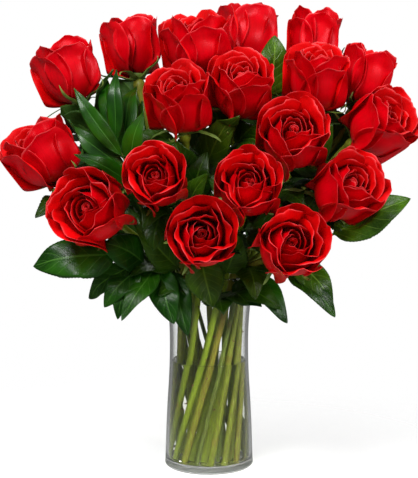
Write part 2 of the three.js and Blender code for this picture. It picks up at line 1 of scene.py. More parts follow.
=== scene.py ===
import math
import bpy
import numpy as np
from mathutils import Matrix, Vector


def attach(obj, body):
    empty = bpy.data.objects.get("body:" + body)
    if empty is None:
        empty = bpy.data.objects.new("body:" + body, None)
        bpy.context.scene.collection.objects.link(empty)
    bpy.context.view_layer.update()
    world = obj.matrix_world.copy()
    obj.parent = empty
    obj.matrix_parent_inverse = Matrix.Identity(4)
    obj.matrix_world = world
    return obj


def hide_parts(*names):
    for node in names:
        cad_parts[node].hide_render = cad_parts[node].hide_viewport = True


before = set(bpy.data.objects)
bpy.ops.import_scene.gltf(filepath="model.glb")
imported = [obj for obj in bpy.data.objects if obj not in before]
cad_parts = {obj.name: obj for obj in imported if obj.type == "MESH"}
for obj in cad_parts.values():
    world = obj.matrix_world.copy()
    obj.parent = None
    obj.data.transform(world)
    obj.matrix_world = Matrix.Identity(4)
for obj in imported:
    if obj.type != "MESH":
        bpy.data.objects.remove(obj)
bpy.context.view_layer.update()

mm = 0.001  # lengths below are in millimetres until a mesh is made of them
up = np.array([0.0, 0.0, 1.0])


# a repeatable number from 0 to 1 for each whole key: each use multiplies its seed by a factor of its own
def chance(key):
    x = math.sin(key * 12.9898 + 4.1414) * 43758.5453
    return x - math.floor(x)


def unit(v):
    v = np.asarray(v, float)
    return v / np.linalg.norm(v, axis=-1, keepdims=True)


def smooth(x, low=0.0, high=1.0):
    q = np.clip((np.asarray(x, float) - low) / (high - low), 0, 1)
    return q * q * (3 - 2 * q)


def mix(a, b, share):
    return a + (b - a) * share


# points at a distance from an axis, an angle round it and a height along it
def around(radius, angle, height):
    return np.stack(np.broadcast_arrays(radius * np.cos(angle), radius * np.sin(angle), height), -1)


# x and y after a turn about the axis
def turned(x, y, angle):
    return x * np.cos(angle) - y * np.sin(angle), x * np.sin(angle) + y * np.cos(angle)


def bezier(t, p):
    return (1 - t) ** 3 * p[0] + 3 * (1 - t) ** 2 * t * p[1] + 3 * (1 - t) * t * t * p[2] + t ** 3 * p[3]


# how far along a line each of its points lies
def pathLength(line):
    return np.concatenate([[0], np.cumsum(np.linalg.norm(np.diff(line, axis=0), axis=1))])


def addObject(name, data):
    made = bpy.data.objects.new(name, data)
    bpy.context.scene.collection.objects.link(made)
    return made


# one output of a node, with arithmetic on it
class Wire:
    def __init__(self, tree, socket):
        self.tree, self.socket = tree, socket

    def math(self, operation, *others):
        return self.tree.node("ShaderNodeMath", {"operation": operation}, dict(enumerate([self, *others])))

    # 0 below low, 1 above high and eased between them
    def ease(self, low, high):
        return self.tree.node("ShaderNodeMapRange", {"interpolation_type": "SMOOTHSTEP"},
                              {"Value": self, "From Min": low, "From Max": high})

    __add__ = __radd__ = lambda self, other: self.math("ADD", other)
    __sub__ = lambda self, other: self.math("SUBTRACT", other)
    __rsub__ = lambda self, other: self.tree.node("ShaderNodeMath", {"operation": "SUBTRACT"}, {0: other, 1: self})
    __mul__ = __rmul__ = lambda self, other: self.math("MULTIPLY", other)
    __pow__ = lambda self, other: self.math("POWER", other)
    abs = lambda self: self.math("ABSOLUTE")
    sin = lambda self: self.math("SINE")


# a node tree, whose node method takes a node's type, its settings and the values or links of its sockets
class Tree:
    def __init__(self, tree):
        self.tree = tree

    def node(self, kind, settings=None, sockets=None, out=0):
        made = self.tree.nodes.new(kind)
        for key, value in (settings or {}).items():
            setattr(made, key, value)
        for key, value in (sockets or {}).items():
            if isinstance(value, Wire):
                self.tree.links.new(value.socket, self.find(made.inputs, key))
            else:
                self.find(made.inputs, key).default_value = value
        return Wire(self, self.find(made.outputs, out)) if made.outputs else None

    def find(self, sockets, key):
        if isinstance(key, int):
            return sockets[key]
        return next(s for s in sockets if s.enabled and key in (s.identifier, s.name))

    def blend(self, factor, a, b):
        a, b = (c if isinstance(c, Wire) else (*c, 1) for c in (a, b))
        return self.node("ShaderNodeMix", {"data_type": "RGBA"},
                         {"Factor_Float": factor, "A_Color": a, "B_Color": b}, "Result_Color")

    # 1 for a ray that has been through this kind of bounce, 0 for one that hasn't
    def bounced(self, kind):
        return self.node("ShaderNodeLightPath", out=kind + " Depth").math("MINIMUM", 1)


# a material that starts empty: surface() gives it its Principled shader
class Finish(Tree):
    def __init__(self, name):
        self.material = bpy.data.materials.new(name)
        self.material.use_nodes = True
        super().__init__(self.material.node_tree)
        self.tree.nodes.clear()

    def surface(self, sockets):
        return self.finish(self.node("ShaderNodeBsdfPrincipled", {}, sockets))

    def finish(self, shader):
        self.node("ShaderNodeOutputMaterial", {}, {"Surface": shader})
        return self.material

    def uv(self):
        across = self.node("ShaderNodeSeparateXYZ", {}, {0: self.node("ShaderNodeUVMap", {"uv_map": "UVMap"})})
        return across, Wire(self, across.socket.node.outputs["Y"])

    def attribute(self, name):
        return self.node("ShaderNodeAttribute", {"attribute_name": name}, out="Fac")

    def place(self):
        return self.node("ShaderNodeTexCoord", out="Object")

    def noise(self, scale, detail=3.0, vector=None):
        return self.node("ShaderNodeTexNoise", {}, {"Vector": vector or self.place(), "Scale": scale,
                                                    "Detail": detail})

    def vector(self, x, y, z=0.0):
        return self.node("ShaderNodeCombineXYZ", {}, {0: x, 1: y, 2: z})

    def bump(self, height, strength, distance):
        return self.node("ShaderNodeBump", {}, {"Height": height, "Strength": strength, "Distance": distance})

    def brighten(self, colour, value, hue=0.5):
        return self.node("ShaderNodeHueSaturation", {}, {"Color": colour, "Value": value, "Hue": hue})


view = {"elevation": 9.0, "distance": 2.0, "aim": (0.0, 0.0, 0.2455), "lens": 142.1, "sensor": 36.0,
        "near": 0.05, "far": 60.0}


def addCamera():
    tilt = math.radians(view["elevation"])
    data = bpy.data.cameras.new("camera")
    data.lens, data.sensor_width = view["lens"], view["sensor"]
    data.clip_start, data.clip_end = view["near"], view["far"]
    camera = addObject("camera", data)
    back = Vector((0, -math.cos(tilt), math.sin(tilt)))
    camera.location = Vector(view["aim"]) + back * view["distance"]
    camera.rotation_euler = (-back).to_track_quat("-Z", "Y").to_euler()
    bpy.context.scene.camera = camera


studio = {"backdrop": 1.0, "sky": 0.5, "shine": 0.05, "inner": 0.24,  # seen straight, as light, mirrored, in glass
          "lamps": (("key", (-0.8, -1.5, 2.2), 1.1, 60.0), ("side", (1.5, -1.5, 1.0), 0.6, 24.0),
                    ("rim", (0.5, 1.5, 1.6), 1.0, 16.0)),  # name, place, size, power
          "lampAim": (0, 0, 0.25)}
paper = {"shade": 0.62, "grain": 0.03, "grainScale": 260, "glow": 0.36, "radius": 0.6, "sides": 96, "drop": 0.0004,
         "fadeFrom": 0.06, "fadeTo": 0.44, "mirroredFade": 0.85}


def addLamp(name, place, size, power):
    data = bpy.data.lights.new(name, "AREA")
    data.shape, data.size, data.energy = "DISK", size, power
    lamp = addObject(name, data)
    lamp.location = place
    lamp.rotation_euler = (Vector(studio["lampAim"]) - Vector(place)).to_track_quat("-Z", "Y").to_euler()


# white to the eye and straight through the glass, softer as a light and dim as a reflection
def addSky():
    world = bpy.data.worlds.new("studio")
    world.use_nodes = True
    world.node_tree.nodes.clear()
    sky = Tree(world.node_tree)
    shine = studio["shine"] + sky.bounced("Transmission") * (studio["inner"] - studio["shine"])
    straight = studio["backdrop"] - sky.bounced("Glossy") * (studio["backdrop"] - shine)
    strength = straight + sky.bounced("Diffuse") * (studio["sky"] - straight)
    glow = sky.node("ShaderNodeBackground", {}, {"Color": (1, 1, 1, 1), "Strength": strength})
    sky.node("ShaderNodeOutputWorld", {}, {"Surface": glow})
    bpy.context.scene.world = world


# a pale sheet that fades into the white behind it and hardly shows in reflections
def addFloor():
    bpy.ops.mesh.primitive_circle_add(vertices=paper["sides"], radius=paper["radius"], fill_type="NGON",
                                      location=(0, 0, -paper["drop"]))
    floor = bpy.context.object
    floor.name = "floor"
    f = Finish("paper")
    shade = f.blend(f.noise(paper["grainScale"]), [paper["shade"]] * 3, [paper["shade"] + paper["grain"]] * 3)
    away = f.node("ShaderNodeVectorMath", {"operation": "LENGTH"}, {0: f.place()}, "Value")
    fade = 1 - away.ease(paper["fadeFrom"], paper["fadeTo"])
    floor.data.materials.append(f.surface({
        "Base Color": shade, "Roughness": 0.9, "Alpha": fade * (1 - f.bounced("Glossy") * paper["mirroredFade"]),
        "Specular IOR Level": 0.1, "Emission Color": shade, "Emission Strength": paper["glow"] / paper["shade"]}))


def addStudio():
    addSky()
    bpy.context.scene.view_settings.view_transform = "Standard"
    for lamp in studio["lamps"]:
        addLamp(*lamp)
    addFloor()


addCamera()
addStudio()
print("camera and studio are set")


# the same values that the solids are made from
roses = [  # name, middle, facing, radius, open
    ("01", (-148, 15, 418), (-0.38, 0.1, 0.9), 35, 0.3),
    ("02", (-82, 60, 442), (-0.18, 0.35, 0.9), 32, 0.5),
    ("03", (-12, 5, 446), (-0.1, -0.12, 1), 38, 0.4),
    ("04", (40, 85, 452), (0.08, 0.45, 0.9), 36, 0.3),
    ("05", (113, 68, 449), (0.08, 0.25, 0.96), 28, 0.3),
    ("06", (165, 38, 412), (0.33, 0.1, 0.9), 29, 0.5),
    ("07", (-30, -55, 393), (-0.12, -0.5, 0.86), 34, 0.4),
    ("08", (32, -35, 406), (0.08, -0.55, 0.83), 34, 0.3),
    ("09", (111, -12, 413), (0.05, -0.3, 0.95), 33, 0.2),
    ("10", (175, -27, 368), (0.6, -0.55, 0.5), 36, 0.9),
    ("11", (85, -73, 360), (0.05, -0.8, 0.6), 38, 0.7),
    ("12", (-171, -25, 336), (-0.55, -0.15, 0.82), 39, 0.5),
    ("13", (-117, -95, 290), (-0.4, -0.85, 0.35), 41, 1),
    ("14", (-52, -105, 322), (-0.08, -0.9, 0.42), 33, 0.7),
    ("15", (39, -106, 314), (0.03, -0.85, 0.52), 35, 0.8),
    ("16", (137, -75, 308), (0.5, -0.7, 0.5), 37, 0.6),
    ("17", (-7, -134, 270), (0.05, -0.96, 0.28), 37, 0.8),
    ("18", (80, -115, 257), (0.22, -0.9, 0.36), 38, 0.9),
]
greens = [  # name, kind, radius, end, leaves: share of the stem, tip x, y, z, width, the way it faces if stated
    ("ruscus_left", "ruscus", 1.9, (-98, -48, 352), [
        (0.99, -99, -35, 428, 19), (0.95, -137, -55, 408, 20), (0.9, -150, -30, 372, 22),
        (0.9, -70, -68, 385, 25), (0.84, -132, -78, 345, 23), (0.78, -72, -62, 322, 27)]),
    ("ruscus_back", "ruscus", 1.9, (-8, 120, 372), [
        (0.99, -10, 152, 440, 20), (0.94, 34, 150, 402, 22), (0.9, -48, 150, 392, 22),
        (0.84, 22, 165, 350, 24), (0.78, -42, 160, 335, 24)]),
    ("salal_left", "salal", 2.2, (-88, -76, 243), [
        (0.99, -181, -72, 231, 50), (0.93, -127, -62, 195, 28), (0.88, -107, -88, 193, 32),
        (0.82, -88, -104, 186, 28), (0.74, -22, -66, 156, 29)]),
    ("salal_right", "salal", 2.2, (124, -58, 258), [
        (0.99, 203, -72, 300, 43), (0.82, 130, -84, 183, 30), (0.67, 79, -84, 180, 32),
        (0.58, 52, -72, 190, 26)]),
    ("salal_top", "salal", 2, (64, 22, 392), [
        (0.99, 71, 14, 458, 43, (0.25, -1, 0)), (0.94, 94, 42, 412, 30), (0.88, 10, 46, 408, 32)]),
    ("salal_back_left", "salal", 2.2, (-92, 74, 300), [
        (0.99, -176, 92, 330, 44), (0.92, -140, 62, 258, 38), (0.86, -92, 132, 282, 42),
        (0.78, -52, 112, 222, 38)]),
    ("salal_back_right", "salal", 2.2, (96, 80, 300), [
        (0.99, 178, 94, 335, 44), (0.92, 150, 66, 262, 38), (0.86, 92, 138, 284, 42),
        (0.78, 52, 116, 220, 38)]),
]
roseLeaves = {
    "01": [(0.82, -118, 38, 378, 34)], "02": [(0.8, -92, 108, 372, 36)], "03": [(0.72, 26, -62, 388, 42)],
    "04": [(0.78, 60, 122, 350, 36)], "06": [(0.8, 178, 62, 330, 36)], "07": [(0.74, -8, -72, 320, 36)],
    "08": [(0.72, 66, -62, 318, 36)], "09": [(0.8, 128, -44, 366, 34)], "12": [(0.72, -150, 10, 282, 36)],
    "14": [(0.66, -72, -78, 272, 36)], "15": [(0.68, 30, -62, 262, 36)], "16": [(0.72, 96, -84, 296, 34)],
    "17": [(0.86, 4, -82, 188, 42)], "18": [(0.8, 48, -92, 205, 34)],
}
glass = {"wall": 3.0, "floor": 6.0, "sides": 20, "water": 115.0,
         "profile": [(0, 47.5), (4, 47.2), (60, 45.2), (110, 41.8), (160, 41.8), (210, 48.5)],
         "turnedSides": 128, "wallSteps": 40, "cornerSteps": 7, "blur": 22, "footRound": 4.2, "insideRound": 5.0,
         "gap": 0.1}
# the stems' places on two rings, in the vase's neck and at its foot, and their curve from there to their ends
spiral = {"neckHeight": 188, "outerNeck": 31, "innerNeck": 14, "outerFoot": 36, "innerFoot": 18,
          "outerShare": 0.64, "inwardForHeight": 0.35, "twist": 88, "bend": 0.74, "above": 5, "tailLength": 20,
          "leave": 0.4, "arrive": 0.35, "footHeight": 7.6, "greenRise": 60}
# rounds of small pushes that clear the stems of each other, of the blooms and of the glass
settle = {"rounds": 300, "clearance": 2, "glassClearance": 1, "bloomClearance": 44, "samples": 6,
          "stemPush": 0.45, "bloomPush": 0.4, "glassPush": 0.6, "ease": 0.12, "easeRounds": 230}
bloomSize = {"height": 70.0, "seatHeight": 7.0}
roseStemRadius = 3.3

glassHeights = [z for z, r in glass["profile"]]
glassRadii = [r for z, r in glass["profile"]]
glassTop = glassHeights[-1]


def glassRadius(z):
    return np.interp(z, glassHeights, glassRadii)


# a bloom's seat and the three axes of its own frame, as rows
def bloomPose(middle, facing):
    facing = unit(facing)
    turn = Vector((0, 0, 1)).rotation_difference(Vector(facing))
    axes = np.array([turn @ Vector(axis) for axis in ((1, 0, 0), (0, 1, 0), (0, 0, 1))])
    return np.array(middle) - facing * bloomSize["height"] / 2, facing, axes


def listStems():
    stems = []
    for name, middle, facing, radius, opened in roses:
        seat, facing, axes = bloomPose(middle, facing)
        stems.append({"name": "stem_" + name, "kind": "rose", "rose": name, "end": seat, "facing": facing,
                      "radius": roseStemRadius, "leaves": roseLeaves.get(name, [])})
    for name, kind, radius, end, leaves in greens:
        outwards = unit([end[0], end[1], spiral["greenRise"] + end[2] / 4])
        stems.append({"name": name, "kind": kind, "rose": None, "end": np.array(end, float),
                      "facing": outwards, "radius": radius, "leaves": leaves})
    return stems


def draftRoute(foot, neck, end, facing):
    tail = end - facing * spiral["tailLength"]
    rise = unit(neck - foot)
    span = np.linalg.norm(tail - neck)
    ends = [neck, neck + rise * span * spiral["leave"], tail - facing * span * spiral["arrive"], tail]
    above = [bezier(k / spiral["above"], ends) for k in range(spiral["above"] + 1)]
    return np.array([foot, mix(foot, neck, spiral["bend"]), *above, end])


def layRing(ring, neckRadius, footRadius):
    azimuth = [math.atan2(stem["end"][1], stem["end"][0]) for stem in ring]
    order = sorted(range(len(ring)), key=lambda i: azimuth[i])
    slots = [-math.pi + 2 * math.pi * (k + 0.5) / len(ring) for k in range(len(ring))]
    offsets = np.array([azimuth[i] - slots[k] for k, i in enumerate(order)])
    turn = math.atan2(np.sin(offsets).sum(), np.cos(offsets).sum())
    for k, i in enumerate(order):
        angle = slots[k] + turn
        low = angle - math.radians(spiral["twist"])
        foot = np.array([footRadius * math.cos(low), footRadius * math.sin(low), spiral["footHeight"]])
        neck = np.array([neckRadius * math.cos(angle), neckRadius * math.sin(angle), spiral["neckHeight"]])
        ring[i]["points"] = draftRoute(foot, neck, ring[i]["end"], ring[i]["facing"])


def draftRoutes(stems):
    reach = lambda stem: spiral["inwardForHeight"] * stem["end"][2] - math.hypot(stem["end"][0], stem["end"][1])
    byReach = sorted(stems, key=reach)
    outer = round(len(stems) * spiral["outerShare"])
    layRing(byReach[:outer], spiral["outerNeck"], spiral["outerFoot"])
    layRing(byReach[outer:], spiral["innerNeck"], spiral["innerFoot"])


# the pushes that part every two stretches of two stems that come too near each other
def pushApart(routes, radii, pairs, push):
    i, j = pairs
    p, q = routes[i][:, :-1, None], routes[i][:, 1:, None]
    u, v = routes[j][:, None, :-1], routes[j][:, None, 1:]
    d1, d2, r = q - p, v - u, p - u
    dot = lambda x, y: (x * y).sum(-1)
    a, b, c, e, f = dot(d1, d1), dot(d1, d2), dot(d1, r), dot(d2, d2), dot(d2, r)
    wide = a * e - b * b
    s = np.where(wide > 1e-9, np.clip((b * f - c * e) / np.where(wide > 1e-9, wide, 1), 0, 1), 0.5)
    t = (b * s + f) / e
    out = (t < 0) | (t > 1)
    t = np.clip(t, 0, 1)
    s = np.where(out, np.clip((b * t - c) / a, 0, 1), s)
    step = p + d1 * s[..., None] - (u + d2 * t[..., None])
    gap = np.linalg.norm(step, axis=-1)
    wanted = (radii[i] + radii[j] + settle["clearance"])[:, None, None]
    k, m, n = np.nonzero((gap < wanted) & (gap > 0))
    share = settle["stemPush"] * (np.broadcast_to(wanted, gap.shape)[k, m, n] - gap[k, m, n]) / gap[k, m, n]
    step = step[k, m, n] * share[:, None]
    s, t = s[k, m, n][:, None], t[k, m, n][:, None]
    for stem, point, amount in ((i[k], m, 1 - s), (i[k], m + 1, s), (j[k], n, t - 1), (j[k], n + 1, -t)):
        np.add.at(push, (stem, point), step * amount)


def pushOffBlooms(routes, radii, push):
    for k, (name, middle, facing, radius, opened) in enumerate(roses):
        away = routes - np.array(middle)
        gap = np.linalg.norm(away, axis=-1)
        wanted = settle["bloomClearance"] + radii[:, None]
        near = gap < wanted
        near[k] = False  # a rose's own stem has the rose's place in the list
        push += np.where(near, settle["bloomPush"] * (wanted - gap) / gap, 0)[..., None] * away


def pushOffGlass(routes, radii, push, fixed):
    rimRadius = glassRadii[-1] - glass["wall"] / 2
    for m in range(fixed):
        for k in range(settle["samples"]):
            share = k / settle["samples"]
            p = mix(routes[:, m], routes[:, m + 1], share)
            clear = radii + settle["glassClearance"]
            out = np.hypot(p[:, 0], p[:, 1])
            inner = glassRadius(np.maximum(p[:, 2], glass["floor"])) - glass["wall"]
            most = inner * math.cos(math.pi / glass["sides"]) - clear
            flat = p * [1, 1, 0]
            inside = flat * (np.minimum(0, most - out) / out)[:, None]
            fromRim = np.stack([out - rimRadius, p[:, 2] - glassTop], -1)
            gap = np.linalg.norm(fromRim, axis=-1)
            fromRim *= (np.maximum(0, clear + glass["wall"] - gap) / gap)[:, None]
            above = flat * (fromRim[:, 0] / out)[:, None] + up * fromRim[:, 1:]
            step = np.where((p[:, 2] < glassTop)[:, None], inside, above)
            push[:, m] += step * settle["glassPush"] * (1 - share)
            push[:, m + 1] += step * settle["glassPush"] * share


def settleRoutes(stems):
    fixed = spiral["above"] + 2
    routes = np.array([stem["points"] for stem in stems])
    radii = np.array([stem["radius"] for stem in stems], float)
    pairs = np.triu_indices(len(stems), 1)
    for turn in range(settle["rounds"]):
        push = np.zeros_like(routes)
        ease = settle["ease"] * max(0, 1 - turn / settle["easeRounds"])
        pushApart(routes, radii, pairs, push)
        pushOffBlooms(routes, radii, push)
        pushOffGlass(routes, radii, push, fixed)
        moved = routes.copy()
        moved[:, 1:fixed] = mix(routes[:, 1:fixed], (routes[:, :fixed - 1] + routes[:, 2:fixed + 1]) / 2, ease)
        moved[:, :fixed] += push[:, :fixed]
        moved[:, 0, 2] = spiral["footHeight"]
        routes = moved
    for stem, route in zip(stems, routes):
        stem["points"] = route


stems = listStems()
draftRoutes(stems)
settleRoutes(stems)
print("the stems' routes are settled")


def quads(index):
    return np.stack([index[:-1, :-1], index[:-1, 1:], index[1:, 1:], index[1:, :-1]], -1).reshape(-1, 4)


# a closed thin shell over a grid of points [rows, columns]: its two faces meet in one edge
def shellOf(grid, thickness, uv):
    rows, columns = grid.shape[:2]
    normal = np.cross(np.gradient(grid, axis=1), np.gradient(grid, axis=0))
    normal /= np.maximum(np.linalg.norm(normal, axis=-1, keepdims=True), 1e-9)
    half = (thickness / 2)[..., None] * normal
    index = np.arange(rows * columns).reshape(rows, columns)
    back = index.copy()
    back[1:-1, 1:-1] = np.arange((rows - 2) * (columns - 2)).reshape(rows - 2, columns - 2) + rows * columns
    edge = np.ones((rows, columns), bool)
    edge[1:-1, 1:-1] = False
    front = np.where(edge[..., None], grid, grid + half).reshape(-1, 3)
    points = np.concatenate([front, (grid - half)[1:-1, 1:-1].reshape(-1, 3)])
    faces = np.concatenate([quads(index), quads(back)[:, ::-1]])
    uvs = np.concatenate([uv.reshape(-1, 2), uv[1:-1, 1:-1].reshape(-1, 2)])
    side = np.concatenate([np.where(edge, 0.5, 0.0).ravel(), np.ones((rows - 2) * (columns - 2))])
    return points, faces, uvs, side


# gathers shells and tubes for one piece: tone is a number for each of them, from 0 to 1 as a rule, set low where
# shade is painted and above 1 where light is painted, and side is 0 on a shell's front, 0.5 at its edge and 1 on
# its back
class Body:
    def __init__(self):
        self.parts, self.count = [], 0

    def add(self, points, faces, uvs, side, tone, slot):
        self.parts.append((points, faces + self.count, uvs, side, np.full(len(points), tone),
                           np.full(len(faces), slot)))
        self.count += len(points)

    def sheet(self, grid, thickness, uv, tone, slot=0):
        self.add(*shellOf(grid, thickness, uv), tone, slot)

    # rings [rows, columns, 3] closed round their columns, with both ends capped
    def tube(self, rings, tone, slot=0, ends=None):
        rows, columns = rings.shape[:2]
        index = np.arange(rows * columns).reshape(rows, columns)
        index = np.hstack([index, index[:, :1]])
        low, high = np.full(columns, rows * columns), np.full(columns, rows * columns + 1)
        caps = [np.stack([index[0, 1:], index[0, :-1], low, low], -1),
                np.stack([index[-1, :-1], index[-1, 1:], high, high], -1)]
        points = np.concatenate([rings.reshape(-1, 3), rings[[0, -1]].mean(1) if ends is None else ends])
        across, along = np.meshgrid(np.linspace(0, 1, columns), np.linspace(0, 1, rows))
        uvs = np.concatenate([np.stack([across, along], -1).reshape(-1, 2), [[0.5, 0], [0.5, 1]]])
        self.add(points, np.concatenate([quads(index), *caps]), uvs, np.zeros(len(points)), tone, slot)

    def piece(self, name, materials):
        points, faces, uvs, sides, tones, slots = (np.concatenate(column) for column in zip(*self.parts))
        polygons = [f[:3] if f[2] == f[3] else f for f in faces.tolist()]
        mesh = bpy.data.meshes.new(name)
        mesh.from_pydata((points * mm).tolist(), [], polygons)
        mesh.polygons.foreach_set("material_index", slots.astype(np.int32))
        mesh.polygons.foreach_set("use_smooth", np.ones(len(polygons), bool))
        corners = np.array([v for f in polygons for v in f])
        mesh.uv_layers.new(name="UVMap").data.foreach_set("uv", uvs[corners].ravel().astype(np.float32))
        for label, values in (("side", sides), ("tone", tones)):
            mesh.attributes.new(label, "FLOAT", "POINT").data.foreach_set("value", values.astype(np.float32))
        for material in materials:
            mesh.materials.append(material)
        mesh.validate()
        return addObject(name, mesh)


petalForm = {"across": 17, "along": 26, "bunchSides": 1.25, "bunchRim": 1.5, "samples": 110,
             "thickness": 0.6, "edge": 0.24, "tip": 0.05, "tipWidth": 0.24, "crown": 0.10, "shoulder": 0.17,
             "overhang": 0.2, "clawSpan": 0.25, "sideRoll": 0.3, "sideWidth": 0.6, "rimWidth": 9.0,
             "crease": 0.12, "least": 0.8, "holdFrom": 0.92, "holdRoom": 0.1}
# for each turn of petals from the outside in: where it starts, the distance of the claws from the axis, the
# belly's height as a share of the petal's, how far one side goes under its neighbour, the waves of the edge
# and the share that petals are shorter by
petalTurns = {
    "count": (5, 4, 4, 3, 3), "turn": (0, 37, 12, 52, 20), "claw": (7.4, 6.6, 5.6, 4.8, 3.8),
    "swell": (0.3, 0.32, 0.32, 0.26, 0.3), "tuck": (0.09, 0.1, 0.09, 0.14, 0.18),
    "wave": (1.5, 1.3, 1.0, 0.8, 0.5), "uneven": (0.06, 0.03, 0.02, 0.02, 0.02),
}
# the same for a tight and for an open rose: half the angle that a petal spans, its radius at the belly and at
# the rim, its height, the degrees that the edge rolls over and the width of that edge
petalOpening = {
    "span": ((58, 66, 66, 82, 84), (58, 64, 64, 80, 82)),
    "belly": ((1.0, 0.88, 0.73, 0.58, 0.42), (1.07, 0.95, 0.78, 0.60, 0.44)),
    "rim": ((0.76, 0.57, 0.42, 0.31, 0.21), (0.66, 0.50, 0.36, 0.27, 0.18)),
    "lift": ((0.89, 0.985, 0.965, 0.94, 0.89), (0.87, 0.905, 0.875, 0.845, 0.80)),
    "roll": ((116, 76, 56, 42, 26), (102, 98, 66, 42, 26)),
    "width": ((16, 12, 9, 6, 4), (20, 17, 9, 7, 5)),
}
petalChance = {"turn": 4, "innerTurn": 3, "belly": 0.02, "rim": 0.03, "roll": 0.16, "crown": 0.03,
               "shoulder": 0.04, "slant": 0.02}
# how far petals may reach beyond the bloom's radius, and how much less in an open rose and in each turn
petalReach = {"beyond": 3, "open": 4, "layer": 3.5}


# how far rolling moves a point: along the way to the edge, and out of the sheet
def rollOver(distance, width, angle):
    past = np.maximum(width - distance, 0)
    bend = np.maximum(angle, 0.01) / width
    return np.sin(bend * past) / bend - past, (1 - np.cos(bend * past)) / bend


# one petal as a grid: it stands up from its claw along a Bezier profile, and its edge rolls back
def petalGrid(petal, seed):
    steps = np.linspace(-1, 1, petalForm["across"])
    columns = np.sign(steps) * (1 - (1 - np.abs(steps)) ** petalForm["bunchSides"])
    rows = 1 - (1 - np.linspace(0, 1, petalForm["along"])) ** petalForm["bunchRim"]
    phase = [2 * math.pi * chance(seed * 7 + k) for k in range(7)]
    u = np.linspace(0, 1, petalForm["samples"])
    r = bezier(u, (petal["claw"], petal["belly"], mix(petal["belly"], petal["rim"], 0.55), petal["rim"]))
    z = bezier(u, (bloomSize["seatHeight"] - 2, petal["swell"] * petal["lift"], 0.88 * petal["lift"],
                   petal["lift"]))
    length = pathLength(np.stack([r, z], -1))
    heading = np.unwrap(np.arctan2(np.gradient(z), np.gradient(r)))

    s, t = np.meshgrid(columns, rows)
    whole = length[-1] + petalForm["overhang"] * petal["width"]
    tip = petalForm["tip"] * np.exp(-(s / petalForm["tipWidth"]) ** 2)
    tall = whole * (1 - petal["crown"] * s ** 2 - petal["shoulder"] * s ** 6 + tip + petal["slant"] * s)
    x = t * tall
    over = np.maximum(x - length[-1], 0)
    angle = np.interp(x, length, heading)
    out = np.interp(x, length, r) + over * np.cos(heading[-1])
    high = np.interp(x, length, z) + over * np.sin(heading[-1])
    opening = np.sin(math.pi / 2 * np.minimum(1, 1.2 * t))
    spread = math.radians(petal["span"]) * mix(petalForm["clawSpan"], 1, opening)
    half = np.maximum(out, 4) * spread

    # how the edge rolls, at the top and at the two sides: less under the next petal and near the claw
    slope = -whole * (2 * petal["crown"] * s + 6 * petal["shoulder"] * s ** 5) / half
    lean = 1 / np.sqrt(1 + slope ** 2)
    roll = math.radians(petal["roll"])
    uneven = 0.8 + 0.34 * np.abs(s) ** 1.3 + 0.17 * np.sin(2.3 * s + phase[0]) + 0.09 * np.sin(6 * s + phase[1])
    uneven = uneven * (0.55 + 0.45 * smooth(s, -1, -0.3)) * smooth(t, 0.05, 0.6)
    goTop, outTop = rollOver((tall - x) * lean, petal["width"] * (1 + 0.15 * s ** 2), roll * uneven)
    sideRoll = petalForm["sideRoll"] * smooth(t, 0.25, 0.6) * (1 - 0.6 * smooth(t, 0.7, 0.95))
    goSide, outSide = rollOver((1 - np.abs(s)) * half, petal["width"] * petalForm["sideWidth"],
                               roll * sideRoll * smooth(s, -0.2, 0.6))
    along = goTop * lean
    across = -goTop * slope * lean + goSide * np.sign(s)

    rim = np.exp(-((tall - x) / petalForm["rimWidth"]) ** 2)
    free = 0.3 + 0.7 * smooth(s, -0.9, 0.3)  # the edge that lies under its neighbour stays calm
    wave = petal["wave"] * smooth(t, 0.2, 1) * free
    ripple = 0.45 * np.sin(13 * s + phase[4] + 2 * np.sin(3 * s + phase[5]))
    crease = 0.5 * np.exp(-(s / petalForm["crease"]) ** 2) * smooth(t, 0.3, 0.8)
    bulge = outTop + outSide + petal["tuck"] * s * petal["belly"] * np.sqrt(t)
    bulge = bulge + wave * (np.sin(2.4 * s + phase[2] + 2 * t) + 0.45 * np.sin(5.5 * s + phase[3] - 3 * t))
    bulge = bulge + petal["wave"] * (ripple * rim - crease * (1 - rim))
    out = np.maximum(out + along * np.cos(angle) + bulge * np.sin(angle), petalForm["least"])
    high = high + along * np.sin(angle) - bulge * np.cos(angle) + 0.5 * wave * np.sin(3.1 * s + phase[6])
    x, y = turned(out, across, math.radians(petal["turn"]) + spread * s)
    # the widest petals bend back up rather than spread past the bloom
    wide = np.hypot(x, y)
    edge, room = petal["most"] * petalForm["holdFrom"], petal["most"] * petalForm["holdRoom"]
    beyond = np.maximum(wide - edge, 0)
    held = np.where(wide > edge, edge + room * beyond / (room + beyond), wide) / wide
    return np.stack([x * held, y * held, high], -1), np.stack([(s + 1) / 2, t], -1)


def petalThickness(shape):
    s, t = np.meshgrid(np.linspace(-1, 1, shape[1]), np.linspace(0, 1, shape[0]))
    return mix(petalForm["thickness"], petalForm["edge"], np.maximum(np.abs(s), t) ** 4)


